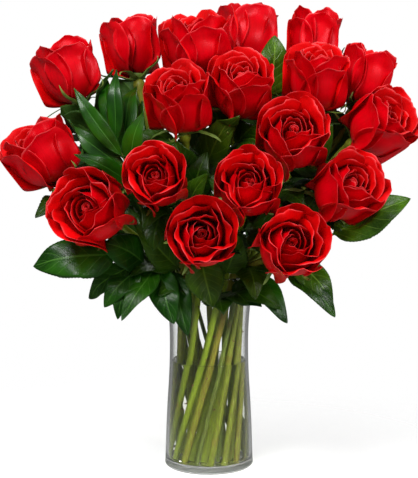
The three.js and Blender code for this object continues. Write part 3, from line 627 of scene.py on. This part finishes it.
def listPetals(radius, opened, seed):
    vary = lambda key, size: (chance(seed * 97 + key) - 0.5) * 2 * size
    petals = []
    for layer, count in enumerate(petalTurns["count"]):
        row = {key: values[layer] for key, values in petalTurns.items()}
        for key, (tight, wide) in petalOpening.items():
            row[key] = mix(tight[layer], wide[layer], opened)
        for i in range(count):
            k = 11 * layer + i + 3
            loose = vary(k + 300, petalChance["roll"])
            spin = vary(k, petalChance["turn"] + petalChance["innerTurn"] * layer)
            petals.append(row | {
                "turn": 360 / count * i + row["turn"] + spin,
                "belly": radius * row["belly"] * (1 + vary(k + 60, petalChance["belly"])),
                "rim": radius * row["rim"] * (1 + vary(k + 120, petalChance["rim"])),
                "lift": bloomSize["height"] * row["lift"] * (1 - row["uneven"] * (1 + vary(k + 180, 1))),
                "roll": row["roll"] * (1 + loose), "width": row["width"] * (1 + 0.5 * loose),
                "crown": petalForm["crown"] + vary(k + 240, petalChance["crown"]),
                "shoulder": petalForm["shoulder"] + vary(k + 420, petalChance["shoulder"]),
                "slant": vary(k + 360, petalChance["slant"]),
                "most": radius + petalReach["beyond"] - petalReach["open"] * opened - petalReach["layer"] * layer})
    return petals


heart = {"rows": 20, "columns": 64, "turns": 2.3, "core": 1.1, "radius": 0.13, "foot": 1.35, "neck": 0.92,
         "ridge": 0.25, "flare": 0.7, "top": (0.83, 0.71), "uneven": 0.02, "thickness": 0.45}
cup = {"heights": (-0.3, 1.0, 3.0, 5.0, 7.0, 8.0), "radii": (5.3, 6.6, 8.2, 9.0, 8.4, 6.0), "sides": 24}


# the furled heart: one long petal rolled into a spiral
def heartGrid(radius, opened, seed):
    s, t = np.meshgrid(np.linspace(0, 1, heart["columns"]), np.linspace(0, 1, heart["rows"]))
    angle = 2 * math.pi * heart["turns"] * s + 6 * chance(seed * 5)
    r = mix(heart["core"], radius * heart["radius"], s) * mix(heart["foot"], heart["neck"], smooth(t))
    r = r + heart["ridge"] * np.sin(3 * angle) + heart["flare"] * smooth(t, 0.86, 1)
    top = mix(*heart["top"], opened) + heart["uneven"] * (np.sin(angle * 1.1 + seed) + s)
    z = mix(bloomSize["seatHeight"] + 2, bloomSize["height"] * top, t)
    return around(r, angle, z), np.stack([s, t], -1)


# rings of points round an axis, one for each radius and height
def ringsOf(radii, heights, sides):
    angle = np.linspace(0, 2 * math.pi, sides + 1)[:-1]
    return around(np.array(radii, float)[:, None], angle, np.array(heights, float)[:, None])


def buildBloom(rose, seed, materials):
    name, middle, facing, radius, opened = rose
    seat, facing, axes = bloomPose(middle, facing)
    body = Body()
    for k, petal in enumerate(listPetals(radius, opened, seed)):
        grid, uv = petalGrid(petal, seed * 41 + k)
        body.sheet(seat + grid @ axes, petalThickness(grid.shape), uv, chance(seed * 31 + k))
    grid, uv = heartGrid(radius, opened, seed)
    # the heart's low tone darkens it: painted shade in the bloom's centre
    body.sheet(seat + grid @ axes, np.full(grid.shape[:2], heart["thickness"]), uv, 0.1)
    body.tube(seat + ringsOf(cup["radii"], cup["heights"], cup["sides"]) @ axes, 0.5, 1)
    return body.piece("rose_" + name, materials)


# the petals' colours: the foot colour is painted shade that darkens each petal towards its claw, deep in the
# bloom, and the edge colour is a painted highlight along the rims
petalLook = {"velvet": ((0.62, 0.0, 0.0), (0.76, 0.0, 0.001)), "back": ((0.54, 0.0, 0.003), (0.68, 0.0, 0.006)),
             "foot": (0.22, 0.0, 0.001), "vein": (0.40, 0.0, 0.002), "edge": (0.95, 0.14, 0.15),
             "sheen": (1.0, 0.24, 0.29, 1)}


def petalFinish():
    f = Finish("rosePetal")
    across, along = f.uv()
    tone, side = f.attribute("tone"), f.attribute("side")
    # sides and edge mask the petal's top and side rims, where a painted highlight goes
    sides = ((across - 0.5).abs() * 2).ease(0.94, 0.995)
    edge = along.ease(0.968, 0.996).math("MAXIMUM", sides * 0.4)
    veins = f.noise(1.0, 4, f.vector(across * 60, along * 4, tone * 20))
    cells = f.noise(2600, 2)
    cloud = f.noise(55, 2)
    velvet, back = (f.blend(cloud.ease(0.3, 0.7), *petalLook[key]) for key in ("velvet", "back"))
    colour = f.blend(side, back, velvet)
    # painted shade: the colour darkens towards the claw, deep in the bloom
    colour = f.blend((1 - along.ease(0.0, 0.5)) * 0.6, colour, petalLook["foot"])
    colour = f.blend(veins.ease(0.4, 0.75) * 0.3, colour, petalLook["vein"])
    # painted highlight: a pale pink line along the rims, broken up by the cloud
    colour = f.blend(edge * cloud.ease(0.35, 0.65) * 0.5, colour, petalLook["edge"])
    return f.surface({"Base Color": f.brighten(colour, 0.86 + tone * 0.24),
                      "Roughness": 0.28 + side * 0.28 + cells * 0.1,
                      "Normal": f.bump(veins * 0.7 + cells * 0.3, 0.3, 0.0006),
                      "Specular IOR Level": 0.4, "Specular Tint": petalLook["sheen"],
                      "Subsurface Weight": 0.06, "Subsurface Radius": (0.008, 0.0005, 0.0005),
                      "Subsurface Scale": 0.25})


# a leaf's outline, folds and teeth in shares of its length or width, and the colours of its blade and ribs
leafForms = {
    "rose": {"peak": 0.7, "fullness": 0.85, "petiole": 0.12, "fold": 0.2, "arch": 0.08, "teeth": 17,
             "bite": 0.055, "veins": 7, "pucker": 0.5, "wave": 0.05, "dark": (0.008, 0.030, 0.0),
             "light": (0.025, 0.078, 0.001), "rib": (0.08, 0.17, 0.012)},
    "salal": {"peak": 0.72, "fullness": 0.75, "petiole": 0.1, "fold": 0.16, "arch": 0.1, "teeth": 24,
              "bite": 0.02, "veins": 6, "pucker": 0.35, "wave": 0.06, "dark": (0.003, 0.028, 0.0),
              "light": (0.018, 0.094, 0.001), "rib": (0.07, 0.20, 0.02)},
    "ruscus": {"peak": 0.85, "fullness": 0.9, "petiole": 0.04, "fold": 0.14, "arch": 0.06, "teeth": 0,
               "bite": 0.0, "veins": 0, "pucker": 0.12, "wave": 0.03, "dark": (0.004, 0.034, 0.0),
               "light": (0.021, 0.102, 0.001), "rib": (0.06, 0.20, 0.02)},
}
leafGrid = {"across": 15, "along": 58, "petioleHalf": 1.1, "petiole": 1.5, "blade": 0.5, "rib": 1.1,
            "dish": 0.012, "groove": 0.5, "sway": 0.04, "upward": 0.6}


# a smooth line through a route's points, with its own points about spacing apart
def smoothLine(points, spacing=4.0):
    padded = np.vstack([2 * points[0] - points[1], points, 2 * points[-1] - points[-2]])
    line = []
    for k in range(1, len(padded) - 2):
        p0, p1, p2, p3 = padded[k - 1:k + 3]
        steps = max(2, int(np.linalg.norm(p2 - p1) / spacing))
        for t in np.arange(steps) / steps:
            line.append(0.5 * (2 * p1 + (p2 - p0) * t + (2 * p0 - 5 * p1 + 4 * p2 - p3) * t ** 2
                               + (3 * p1 - p0 - 3 * p2 + p3) * t ** 3))
    return np.vstack([line, points[-1]])


def pointAlong(line, share):
    length = pathLength(line)
    return np.array([np.interp(share * length[-1], length, line[:, k]) for k in range(3)])


# the room between leaves and blooms, and between leaves and the outside of the vase
leafRoom = {"bloom": 3.0, "openBloom": 3.0, "tall": 1.0, "middle": 0.54, "glass": 1.5, "insideGlass": 30}


# moves points out of the blooms and off the outside of the vase
def keepClear(points):
    for name, middle, facing, radius, opened in roses:
        seat, facing, axes = bloomPose(middle, facing)
        centre = np.array([0, 0, leafRoom["middle"] * bloomSize["height"]])
        wide = radius + leafRoom["bloom"] + leafRoom["openBloom"] * opened
        tall = 0.5 * bloomSize["height"] + leafRoom["tall"]
        offset = (points - seat) @ axes.T - centre
        depth = (np.hypot(offset[..., 0], offset[..., 1]) / wide) ** 3 + (np.abs(offset[..., 2]) / tall) ** 3
        scale = np.where(depth < 1, np.maximum(depth, 0.02) ** (-1 / 3), 1)
        points = seat + (centre + offset * scale[..., None]) @ axes
    out = np.hypot(points[..., 0], points[..., 1])
    beside = (points[..., 2] < glassTop + 2) & (out > leafRoom["insideGlass"])
    wanted = np.where(beside, glassRadius(points[..., 2]) + leafRoom["glass"], 0)
    scale = np.maximum(1, wanted / np.maximum(out, 1e-6))
    return points * np.stack([scale, scale, np.ones_like(scale)], -1)


def buildLeaf(body, kind, root, tip, width, seed, tone, front=None):
    form = leafForms[kind]
    columns = np.linspace(-1, 1, leafGrid["across"])
    s, t = np.meshgrid(np.sign(columns) * np.abs(columns) ** 1.15, np.linspace(0, 1, leafGrid["along"]))
    chord = np.asarray(tip, float) - root
    length = np.linalg.norm(chord)
    face = unit(front or [root[0] + tip[0], 6 * (root[1] + tip[1]), 0]) + leafGrid["upward"] * up
    side = unit(np.cross(chord, face))
    rise = unit(np.cross(side, chord))
    q = np.clip((t - form["petiole"]) / (1 - form["petiole"]), 0, 1)
    bulge = np.sin(math.pi * q ** form["peak"]) ** form["fullness"]
    saw = (q * form["teeth"]) % 1 if form["teeth"] else 0 * q
    bulge = bulge * (1 + form["bite"] * (1 - 2 * saw) * np.abs(s) ** 3)
    half = np.maximum(leafGrid["petioleHalf"] * (1 - 0.7 * t), width / 2 * bulge)
    phase = [2 * math.pi * chance(seed * 3 + k) for k in range(4)]
    curl = 0.05 + 0.1 * chance(seed * 9 + 1)
    lift = 4 * form["arch"] * length * t * (1 - t) - curl * length * smooth(t, 0.55, 1) ** 2
    reach = np.abs(s) * half
    lift = lift + reach * math.sin(form["fold"]) - leafGrid["dish"] * reach ** 2
    wave = np.abs(s) ** 2 * np.sin(9 * q + phase[0] + np.where(s > 0, phase[1], 0))
    wave = wave + 0.35 * np.sin(17 * q + phase[2]) * np.abs(s) ** 3
    lift = lift + form["wave"] * width * wave - leafGrid["groove"] * np.exp(-(s / 0.14) ** 2) * smooth(q, 0, 0.15)
    if form["veins"]:
        ridge = np.sin(2 * math.pi * (form["veins"] * (q - 0.28 * np.abs(s))))
        lift = lift + form["pucker"] * ridge * np.abs(s) * (1 - np.abs(s)) * 2 * smooth(q, 0, 0.1)
    sway = leafGrid["sway"] * length * np.sin(math.pi * t) * math.sin(phase[3])
    grid = root + chord * t[..., None] + side * (s * half * math.cos(form["fold"]) + sway)[..., None]
    grid = grid + rise * lift[..., None]
    grid = mix(grid, keepClear(grid), smooth(t, 0.0, 0.12)[..., None])
    thickness = leafGrid["blade"] + leafGrid["rib"] * np.exp(-(s * half / 1.3) ** 2) * (1 - 0.6 * t)
    thickness = np.where(q <= 0, leafGrid["petiole"], thickness)
    body.sheet(grid, thickness, np.stack([(s + 1) / 2, q], -1), tone)


def leafFinish(kind):
    f = Finish(kind + "Leaf")
    form = leafForms[kind]
    across, along = f.uv()
    tone, side = f.attribute("tone"), f.attribute("side")
    fromRib = (across - 0.5).abs() * 2
    midrib = 1 - fromRib.ease(0.02, 0.07)
    cloud = f.noise(38)
    fine = f.noise(900)
    if form["veins"]:
        wave = ((along - fromRib * 0.28) * form["veins"] * (2 * math.pi)).sin()
        veins = (wave * -1).ease(0.93, 1.0) * (1 - fromRib.ease(0.7, 0.98))
        net = f.node("ShaderNodeTexVoronoi", {"feature": "DISTANCE_TO_EDGE"},
                     {"Vector": f.vector(fromRib * 14, along * 34), "Scale": 1.0})
        net = 1 - net.ease(0.0, 0.12)
    else:
        veins = (fromRib * 40).sin().ease(0.75, 1.0) * 0.35
        net = fine.ease(0.6, 0.8)
    colour = f.blend(cloud.ease(0.3, 0.72), form["dark"], form["light"])
    # the rib colour goes over the net, the veins and the midrib, and as a painted highlight along the margin
    for share in (net * 0.16, veins * 0.4, midrib * 0.75, fromRib.ease(0.93, 1.0) * 0.35):
        colour = f.blend(share, colour, form["rib"])
    colour = f.blend(side * 0.45, colour, [c * 1.5 + 0.02 for c in form["light"]])
    colour = f.brighten(colour, 0.7 + tone * 0.6, 0.515 - tone * 0.03)
    return f.surface({"Base Color": colour, "Roughness": 0.24 + fine * 0.12 + side * 0.25,
                      "Normal": f.bump(net * -0.15 + veins * -0.5 + fine * 0.15, 0.5, 0.0006),
                      "Specular IOR Level": 0.34})


stemForm = {"sides": 12, "hipRadius": 6.6, "hipLength": 16.0, "hipShoulder": 4.6, "faceRadius": 5.4,
            "twigEnd": 0.6, "twigTaper": 60, "nodeSpacing": 62, "nodeWidth": 2.2, "nodeHeight": 0.45,
            "uneven": 0.02}
thornForm = {"length": 3.4, "width": 2.3, "count": 7, "from": 0.12, "to": 0.84, "lean": 104, "sunk": 0.6,
             "tip": 0.1, "least": 0.75, "most": 1.05}
stemInputs = {"Sides": "Int", "Thorn Count": "Int", "Thorn Length": "Float", "Thorn Width": "Float", "Seed": "Int",
              "Tone": "Float", "Bark": "Material", "Thorn Finish": "Material"}


# the tree that lays a tube along a curve and sets thorns on it
def stemTree():
    group = bpy.data.node_groups.new("stemWithThorns", "GeometryNodeTree")
    for side in ("INPUT", "OUTPUT"):
        group.interface.new_socket("Geometry", in_out=side, socket_type="NodeSocketGeometry")
    for label, kind in stemInputs.items():
        group.interface.new_socket(label, in_out="INPUT", socket_type="NodeSocket" + kind)
    t = Tree(group)
    given = group.nodes.new("NodeGroupInput")
    g = lambda label: Wire(t, given.outputs[label])
    geo = lambda kind, sockets=None, settings=None, out=0: t.node("GeometryNode" + kind, settings, sockets, out)
    chosen = lambda low, high, shift: t.node(
        "FunctionNodeRandomValue", {"data_type": "FLOAT"},
        {"Min_001": low, "Max_001": high, "Seed": g("Seed") + shift}, "Value_001")
    curve = g("Geometry")
    for label, value in (("along", geo("SplineParameter", out="Factor")), ("tone", g("Tone"))):
        curve = geo("StoreNamedAttribute", {"Geometry": curve, "Name": label, "Value": value},
                    {"data_type": "FLOAT", "domain": "POINT"})
    circle = geo("CurvePrimitiveCircle", {"Resolution": g("Sides"), "Radius": 1.0}, {"mode": "RADIUS"})
    radius = geo("InputRadius")
    tube = geo("CurveToMesh", {"Curve": curve, "Profile Curve": circle, "Scale": radius, "Fill Caps": True})
    tube = geo("SetMaterial", {"Geometry": tube, "Material": g("Bark")})
    # one point for each thorn, at a random share of the curve
    points = geo("Points", {"Count": g("Thorn Count"), "Radius": mm})
    share = chosen(thornForm["from"], thornForm["to"], 0)
    sample = geo("SampleCurve", {"Curves": g("Geometry"), "Factor": share, "Value": radius},
                 {"mode": "FACTOR", "data_type": "FLOAT"})
    at, tangent = (Wire(t, sample.socket.node.outputs[label]) for label in ("Position", "Tangent"))
    placed = geo("SetPosition", {"Geometry": points, "Position": at})
    upright = t.node("FunctionNodeAlignRotationToVector", {"axis": "Z"}, {"Vector": tangent})
    about = t.node("FunctionNodeAxisAngleToRotation", {}, {"Axis": (0, 0, 1), "Angle": chosen(0.0, 6.283, 7)})
    spun = t.node("FunctionNodeRotateRotation", {"rotation_space": "LOCAL"},
                  {"Rotation": upright, "Rotate By": about})
    cone = geo("MeshCone", {"Vertices": 6, "Side Segments": 2, "Radius Top": thornForm["tip"] * mm,
                            "Radius Bottom": g("Thorn Width") * 0.5, "Depth": g("Thorn Length")},
               {"fill_type": "NGON"})
    lean = t.node("FunctionNodeEulerToRotation", {}, {"Euler": (0, math.radians(thornForm["lean"]), 0)})
    # the thorn leans a little down and starts just inside the bark
    shift = t.node("ShaderNodeCombineXYZ", {}, {0: (roseStemRadius - thornForm["sunk"]) * mm})
    thorn = geo("Transform", {"Geometry": cone, "Rotation": lean, "Translation": shift})
    grow = chosen(thornForm["least"], thornForm["most"], 19)
    thorns = geo("InstanceOnPoints", {"Points": placed, "Instance": thorn, "Rotation": spun, "Scale": grow})
    thorns = geo("SetMaterial", {"Geometry": thorns, "Material": g("Thorn Finish")})
    both = group.nodes.new("GeometryNodeJoinGeometry")
    for wire in (thorns, tube):
        group.links.new(wire.socket, both.inputs[0])
    whole = geo("RealizeInstances", {"Geometry": Wire(t, both.outputs[0])})
    whole = geo("SetShadeSmooth", {"Geometry": whole, "Shade Smooth": True})
    group.links.new(whole.socket, group.nodes.new("NodeGroupOutput").inputs[0])
    return group


def stemLine(stem):
    form, points = stemForm, stem["points"]
    if stem["rose"]:
        below = lambda depth: stem["end"] - stem["facing"] * depth
        points = np.vstack([points[:-1], below(form["hipShoulder"]), below(0.35)])
    line = smoothLine(points)
    depth = pathLength(line[::-1])[::-1]
    radii = np.full(len(line), float(stem["radius"]))
    if stem["rose"]:
        radii += (form["hipRadius"] - stem["radius"]) * (1 - smooth(depth, 5.5, form["hipLength"]))
        radii -= (form["hipRadius"] - form["faceRadius"]) * (1 - smooth(depth, 0, 4))
    else:
        radii *= mix(form["twigEnd"], 1, smooth(depth, 0, form["twigTaper"]))
    wobble = np.array([chance(k * 3 + len(stem["name"])) for k in range(len(line))])
    spacing = form["nodeSpacing"]
    fromNode = (depth + 17 * chance(len(line))) % spacing - spacing / 2
    node = np.exp(-(fromNode / form["nodeWidth"]) ** 2) * (depth > 24)
    return line, radii * (1 + form["uneven"] * (wobble - 0.5)) + form["nodeHeight"] * node


def buildStemTube(stem, seed, tree, bark, thorn):
    line, radii = stemLine(stem)
    data = bpy.data.curves.new(stem["name"], "CURVE")
    data.dimensions = "3D"
    spline = data.splines.new("POLY")
    spline.points.add(len(line) - 1)
    spline.points.foreach_set("co", np.hstack([line * mm, np.ones((len(line), 1))]).ravel())
    spline.points.foreach_set("radius", radii * mm)
    curve = addObject(stem["name"] + "_line", data)
    grower = curve.modifiers.new("grow", "NODES")
    grower.node_group = tree
    values = {"Sides": stemForm["sides"], "Thorn Count": thornForm["count"] if stem["rose"] else 0,
              "Thorn Length": thornForm["length"] * mm, "Thorn Width": thornForm["width"] * mm,
              "Seed": seed, "Tone": chance(seed * 83 + 5), "Bark": bark, "Thorn Finish": thorn}
    for item in tree.interface.items_tree:
        if item.in_out == "INPUT" and item.name in values:
            grower[item.identifier] = values[item.name]
    mesh = bpy.data.meshes.new_from_object(curve.evaluated_get(bpy.context.evaluated_depsgraph_get()))
    curve.modifiers.clear()
    bpy.data.objects.remove(curve)
    return mesh, line


sepalForm = {"count": 5, "start": 36, "length": 38, "vary": 0.3, "droop": (-20, 18), "curl": 1.2, "across": 7,
             "along": 22, "foot": 5.2, "half": 3.4, "point": 0.3, "thickness": 0.5}


def buildSepals(body, stem, seed, slot):
    axes = bloomPose((0, 0, 0), stem["facing"])[2]
    form = sepalForm
    s, t = np.meshgrid(np.linspace(-1, 1, form["across"]), np.linspace(0, 1, form["along"]))
    for k in range(form["count"]):
        angle = math.radians(360 / form["count"] * k + form["start"]) + 0.25 * (chance(seed * 5 + k) - 0.5)
        length = form["length"] * (1 + form["vary"] * (chance(13 * seed + k) - 0.5))
        droop = mix(*form["droop"], chance(17 * seed + k))
        curl = form["curl"] * (chance(23 * seed + k) - 0.3) * smooth(t, 0.6, 1)
        out = form["foot"] + length * 0.9 * np.sin(math.pi / 2 * t) ** 0.9 - 6 * curl
        high = 0.5 + 5.5 * smooth(t, 0, 0.25) - droop * t ** 1.6 + 7 * curl
        offset = s * (form["half"] * (1 - t) ** 0.9 * (0.85 + 0.15 * np.cos(9 * t)) + form["point"])
        twist = 0.5 * (chance(29 * seed + k) - 0.5) * t
        across, lift = turned(offset, 0, 3 * twist)
        grid = np.stack([*turned(out, across + 6 * twist * t, angle), high + np.abs(offset) * 0.3 + lift], -1)
        body.sheet(stem["end"] + grid @ axes, np.full(s.shape, form["thickness"]),
                   np.stack([(s + 1) / 2, t], -1), chance(seed + k), slot)


barks = {"roseBark": ((0.160, 0.172, 0.014), (0.200, 0.285, 0.012), (0.190, 0.090, 0.018)),
         "twigBark": ((0.105, 0.110, 0.020), (0.120, 0.190, 0.020), (0.130, 0.060, 0.020))}


# each stem has its own tone between an olive, a fresh green and a brown one
def barkFinish(name):
    f = Finish(name)
    olive, fresh, brown = barks[name]
    along, tone = f.attribute("along"), f.attribute("tone")
    drawnOut = f.node("ShaderNodeVectorMath", {"operation": "MULTIPLY"}, {0: f.place(), 1: (1.0, 1.0, 0.12)})
    streaks = f.noise(700, 3, drawnOut)
    specks = f.noise(1500, 2).ease(0.64, 0.7)
    colour = f.blend(tone.ease(0.25, 0.7), olive, fresh)
    colour = f.blend(tone.ease(0.8, 0.9) * 0.7, colour, brown)
    # painted shade: each stem darkens towards its foot, low in the vase
    colour = f.blend((1 - along.ease(0.1, 0.5)) * 0.55, colour, [c * 0.62 for c in olive])
    colour = f.blend(streaks.ease(0.35, 0.7) * 0.35, colour, [c * 1.45 for c in fresh])
    colour = f.blend(f.noise(45, 2).ease(0.58, 0.78) * 0.5, colour, brown)
    colour = f.blend(specks * 0.5, colour, (0.05, 0.03, 0.01))
    return f.surface({"Base Color": colour, "Roughness": 0.42 + streaks * 0.2,
                      "Normal": f.bump(streaks - specks * 0.5, 0.3, 0.0005), "Specular IOR Level": 0.3})


def sepalFinish():
    f = Finish("sepal")
    across, along = f.uv()
    ribs = ((across - 0.5).abs() * 30).sin()
    colour = f.blend(f.noise(120).ease(0.3, 0.7), (0.09, 0.17, 0.022), (0.17, 0.27, 0.045))
    colour = f.blend(along.ease(0.5, 1.0) * 0.4, colour, (0.26, 0.32, 0.08))
    return f.surface({"Base Color": colour, "Roughness": 0.5 + ribs * 0.05,
                      "Normal": f.bump(ribs, 0.2, 0.0003), "Specular IOR Level": 0.35})


def thornFinish():
    f = Finish("thorn")
    cloud = f.noise(900, 2)
    colour = f.blend(cloud.ease(0.35, 0.65), (0.10, 0.035, 0.015), (0.22, 0.10, 0.04))
    return f.surface({"Base Color": colour, "Roughness": 0.45 + cloud * 0.15, "Specular IOR Level": 0.4})


# leaves that fill the bunch between the blooms: share of the stem, length, width, least height above the vase
filler = {"shares": (0.55, 0.62, 0.69, 0.76, 0.82, 0.88, 0.94), "length": (50, 78), "width": (28, 42), "above": 26}
# leaves that hide the vase's mouth and the gaps beside it: stem, share of it, tip x, y, z, width
mouthLeaves = [("stem_15", 0.62, 14, -82, 184, 42), ("stem_18", 0.66, 38, -76, 196, 36),
               ("stem_14", 0.6, -48, -72, 205, 34), ("stem_03", 0.56, -12, -70, 214, 38),
               ("stem_13", 0.7, -78, -80, 224, 36), ("stem_16", 0.66, 70, -70, 226, 36),
               ("stem_11", 0.66, 44, -88, 262, 40), ("salal_left", 0.87, -110, -86, 257, 40),
               ("salal_left", 0.8, -37, -78, 172, 34), ("salal_left", 0.9, -94, -90, 179, 27),
               ("salal_right", 0.84, 128, -80, 196, 34), ("stem_18", 0.7, 72, -84, 190, 34)]
# leaves that stand behind the gaps between the blooms
gapLeaves = [("stem_01", 0.89, -105, 0, 426, 32), ("ruscus_left", 0.96, -82, 2, 413, 28),
             ("stem_01", 0.93, -160, -22, 374, 32), ("stem_01", 0.88, -152, -34, 346, 28),
             ("stem_08", 0.94, -8, -26, 386, 32), ("stem_07", 0.79, -6, -46, 340, 40),
             ("stem_15", 0.92, 0, -48, 320, 36), ("stem_14", 0.9, -58, -80, 248, 36),
             ("ruscus_left", 0.93, -116, 8, 420, 26), ("ruscus_left", 0.9, -74, -8, 396, 26),
             ("ruscus_left", 0.8, -138, -20, 354, 28), ("stem_03", 0.7, -32, -28, 352, 42),
             ("stem_03", 0.7, -12, -10, 382, 44)]
# stems whose first leaf and added leaves are paler, and how much
litLeaves = {"salal_top": 1.7, "salal_right": 1.4}


def fillerLeaves(line, seed):
    made = []
    for k, share in enumerate(filler["shares"]):
        root = pointAlong(line, share + 0.08 * (chance(seed * 61 + k) - 0.5))
        if root[2] < glassTop + filler["above"]:
            continue
        spin = 2 * math.pi * chance(seed * 67 + k)
        away = unit([root[0], root[1], 0]) if math.hypot(root[0], root[1]) > 12 else np.array([1.0, 0, 0])
        sideways = np.array([-away[1], away[0], 0])
        heading = unit(away * 0.7 + sideways * math.cos(spin) * 0.9 + up * (0.35 + 0.5 * math.sin(spin)))
        length = mix(*filler["length"], chance(seed * 71 + k))
        made.append((root, root + heading * length, mix(*filler["width"], chance(seed * 73 + k))))
    return made


def buildStem(stem, seed, tree, finishes):
    name, kind = stem["name"], stem["kind"]
    tube, line = buildStemTube(stem, seed, tree, finishes["bark" if stem["rose"] else "twig"], finishes["thorn"])
    body = Body()
    for k, (share, x, y, z, width, *front) in enumerate(stem["leaves"]):
        tone = litLeaves[name] if k == 0 and name in litLeaves else chance(seed * 37 + k)
        buildLeaf(body, kind, pointAlong(line, share), (x, y, z), width, seed * 19 + k, tone, *front)
    for k, (owner, share, x, y, z, width) in enumerate(mouthLeaves + gapLeaves):
        if owner == name:
            # the added leaves are painted darker, with tone 0.2, as painted shade inside the bunch, unless their
            # stem is a lit one
            tone = litLeaves.get(name, 0.2)
            buildLeaf(body, kind, pointAlong(line, share), (x, y, z), width, 900 + k, tone)
    if stem["rose"]:
        # filler leaves get a low tone: painted shade between the blooms
        for k, (root, tip, width) in enumerate(fillerLeaves(line, seed)):
            buildLeaf(body, kind, root, tip, width, seed * 23 + k, 0.35 * chance(seed * 43 + k))
        buildSepals(body, stem, seed, 1)
    made = body.piece(name + "_grown", [finishes[kind], finishes["sepal"]])
    tubeObject = addObject(name + "_tube", tube)
    with bpy.context.temp_override(active_object=made, selected_editable_objects=[made, tubeObject]):
        bpy.ops.object.join()
    made.data.name = made.name
    return made


# a profile of radii and heights turned round the vase's axis
def turnedPiece(name, profile, finish):
    outline = np.array(profile, float)
    radii, heights = outline[1:-1].T  # the first and the last point are on the axis
    body = Body()
    body.tube(ringsOf(radii, heights, glass["turnedSides"]), 0.5, ends=[[0, 0, z] for z in outline[[0, -1], 1]])
    made = body.piece(name, [finish])
    made.data.uv_layers.remove(made.data.uv_layers[0])  # nothing on glass and water follows the surface
    return made


# a rounded corner as short steps from one direction to another
def roundCorner(centre, radius, start, end):
    turn = np.radians(np.linspace(start, end, glass["cornerSteps"]))
    return [(centre[0] + radius * math.cos(a), centre[1] + radius * math.sin(a)) for a in turn]


# the wall's outer line, with the solid's corners smoothed away between the foot and the lip
def smoothWall(low, high):
    heights = np.linspace(low, high, glass["wallSteps"])
    shifts = np.linspace(-glass["blur"], glass["blur"], 9)
    blur = np.array([glassRadius(np.clip(heights + shift, 4, glassTop)) for shift in shifts]).mean(0)
    return list(zip(np.where((heights > 12) & (heights < 200), blur, glassRadius(heights)), heights))


def buildVase(finish):
    wall, floor, foot, inside = glass["wall"], glass["floor"], glass["footRound"], glass["insideRound"]
    outer = smoothWall(6, glassTop - wall / 2)
    inner = [(r - wall, z) for r, z in smoothWall(floor + inside, glassTop - wall / 2)][::-1]
    profile = [(0, 0.9), (30, 0.7), (42, 0.0)] + roundCorner((43.2, foot), foot, -90, 0)[1:] + outer
    profile += roundCorner((glassRadii[-1] - wall / 2, glassTop - wall / 2), wall / 2, 0, 180)[1:-1] + inner
    profile += roundCorner((inner[-1][0] - inside, floor + inside), inside, 0, -90)[1:] + [(0, floor)]
    return turnedPiece("glass_vase", profile, finish)


# the water climbs a little at the wall
def buildWater(finish):
    wall, low = glass["wall"] + glass["gap"], glass["floor"] + glass["gap"]
    level, inside = glass["water"], glass["insideRound"]
    walls = [(r - wall, z) for r, z in smoothWall(glass["floor"] + inside, level)]
    profile = [(0, low)] + roundCorner((walls[0][0] - inside, low + inside), inside, -90, 0) + walls
    edge = walls[-1][0]
    profile += [(edge, level + 1.2), (edge - 0.8, level + 0.5), (edge - 2.6, level), (0, level)]
    return turnedPiece("vase_water", profile, finish)


# bends what is seen through it, darkens where it is seen edge on and lets the lamps' light straight through
def clearFinish(name, values):
    f = Finish(name)
    colour = (*values["colour"], 1)
    body = f.node("ShaderNodeBsdfPrincipled", {}, {
        "Base Color": colour, "Roughness": 0.0, "IOR": values["bend"], "Transmission Weight": 1.0,
        "Specular IOR Level": 0.3, "Normal": f.bump(f.noise(values["rippleScale"], 2), 0.02, 0.002)})
    edgeOn = f.node("ShaderNodeLayerWeight", {}, {"Blend": 0.5}, "Facing") ** values["edgeWidth"] * values["edge"]
    dim = f.node("ShaderNodeBsdfPrincipled", {}, {"Base Color": (*values["edgeColour"], 1), "Roughness": 0.3})
    body = f.node("ShaderNodeMixShader", {}, {0: edgeOn, 1: body, 2: dim})
    lamps = f.node("ShaderNodeLightPath", out="Is Shadow Ray")
    clear = f.node("ShaderNodeBsdfTransparent", {}, {"Color": colour})
    return f.finish(f.node("ShaderNodeMixShader", {}, {0: lamps, 1: body, 2: clear}))


clearLooks = {
    "glass": {"colour": (0.985, 0.992, 0.988), "bend": 1.46, "rippleScale": 22, "edge": 0.7, "edgeWidth": 4,
              "edgeColour": (0.42, 0.44, 0.42)},
    "water": {"colour": (0.965, 0.97, 0.88), "bend": 1.333, "rippleScale": 60, "edge": 0.2, "edgeWidth": 3,
              "edgeColour": (0.14, 0.15, 0.06)},
}


finishes = {kind: leafFinish(kind) for kind in leafForms}
finishes |= {"bark": barkFinish("roseBark"), "twig": barkFinish("twigBark"), "sepal": sepalFinish(),
             "thorn": thornFinish()}
petal = petalFinish()
pieces = [(buildBloom(rose, k + 1, [petal, finishes["sepal"]]), "bloom_" + rose[0], "petals")
          for k, rose in enumerate(roses)]
print("the blooms are made")

tree = stemTree()
slots = {"rose": "rose_stem", "salal": "salal", "ruscus": "ruscus"}
pieces += [(buildStem(stem, k + 1, tree, finishes), stem["name"], slots[stem["kind"]])
           for k, stem in enumerate(stems)]
print("the stems and leaves are made")

pieces += [(buildVase(clearFinish("clearGlass", clearLooks["glass"])), "vase", "clear_glass"),
           (buildWater(clearFinish("vaseWater", clearLooks["water"])), "water", "water")]
print("the vase and water are made")

for piece, node, slot in pieces:
    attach(piece, "root")
    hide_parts(node)
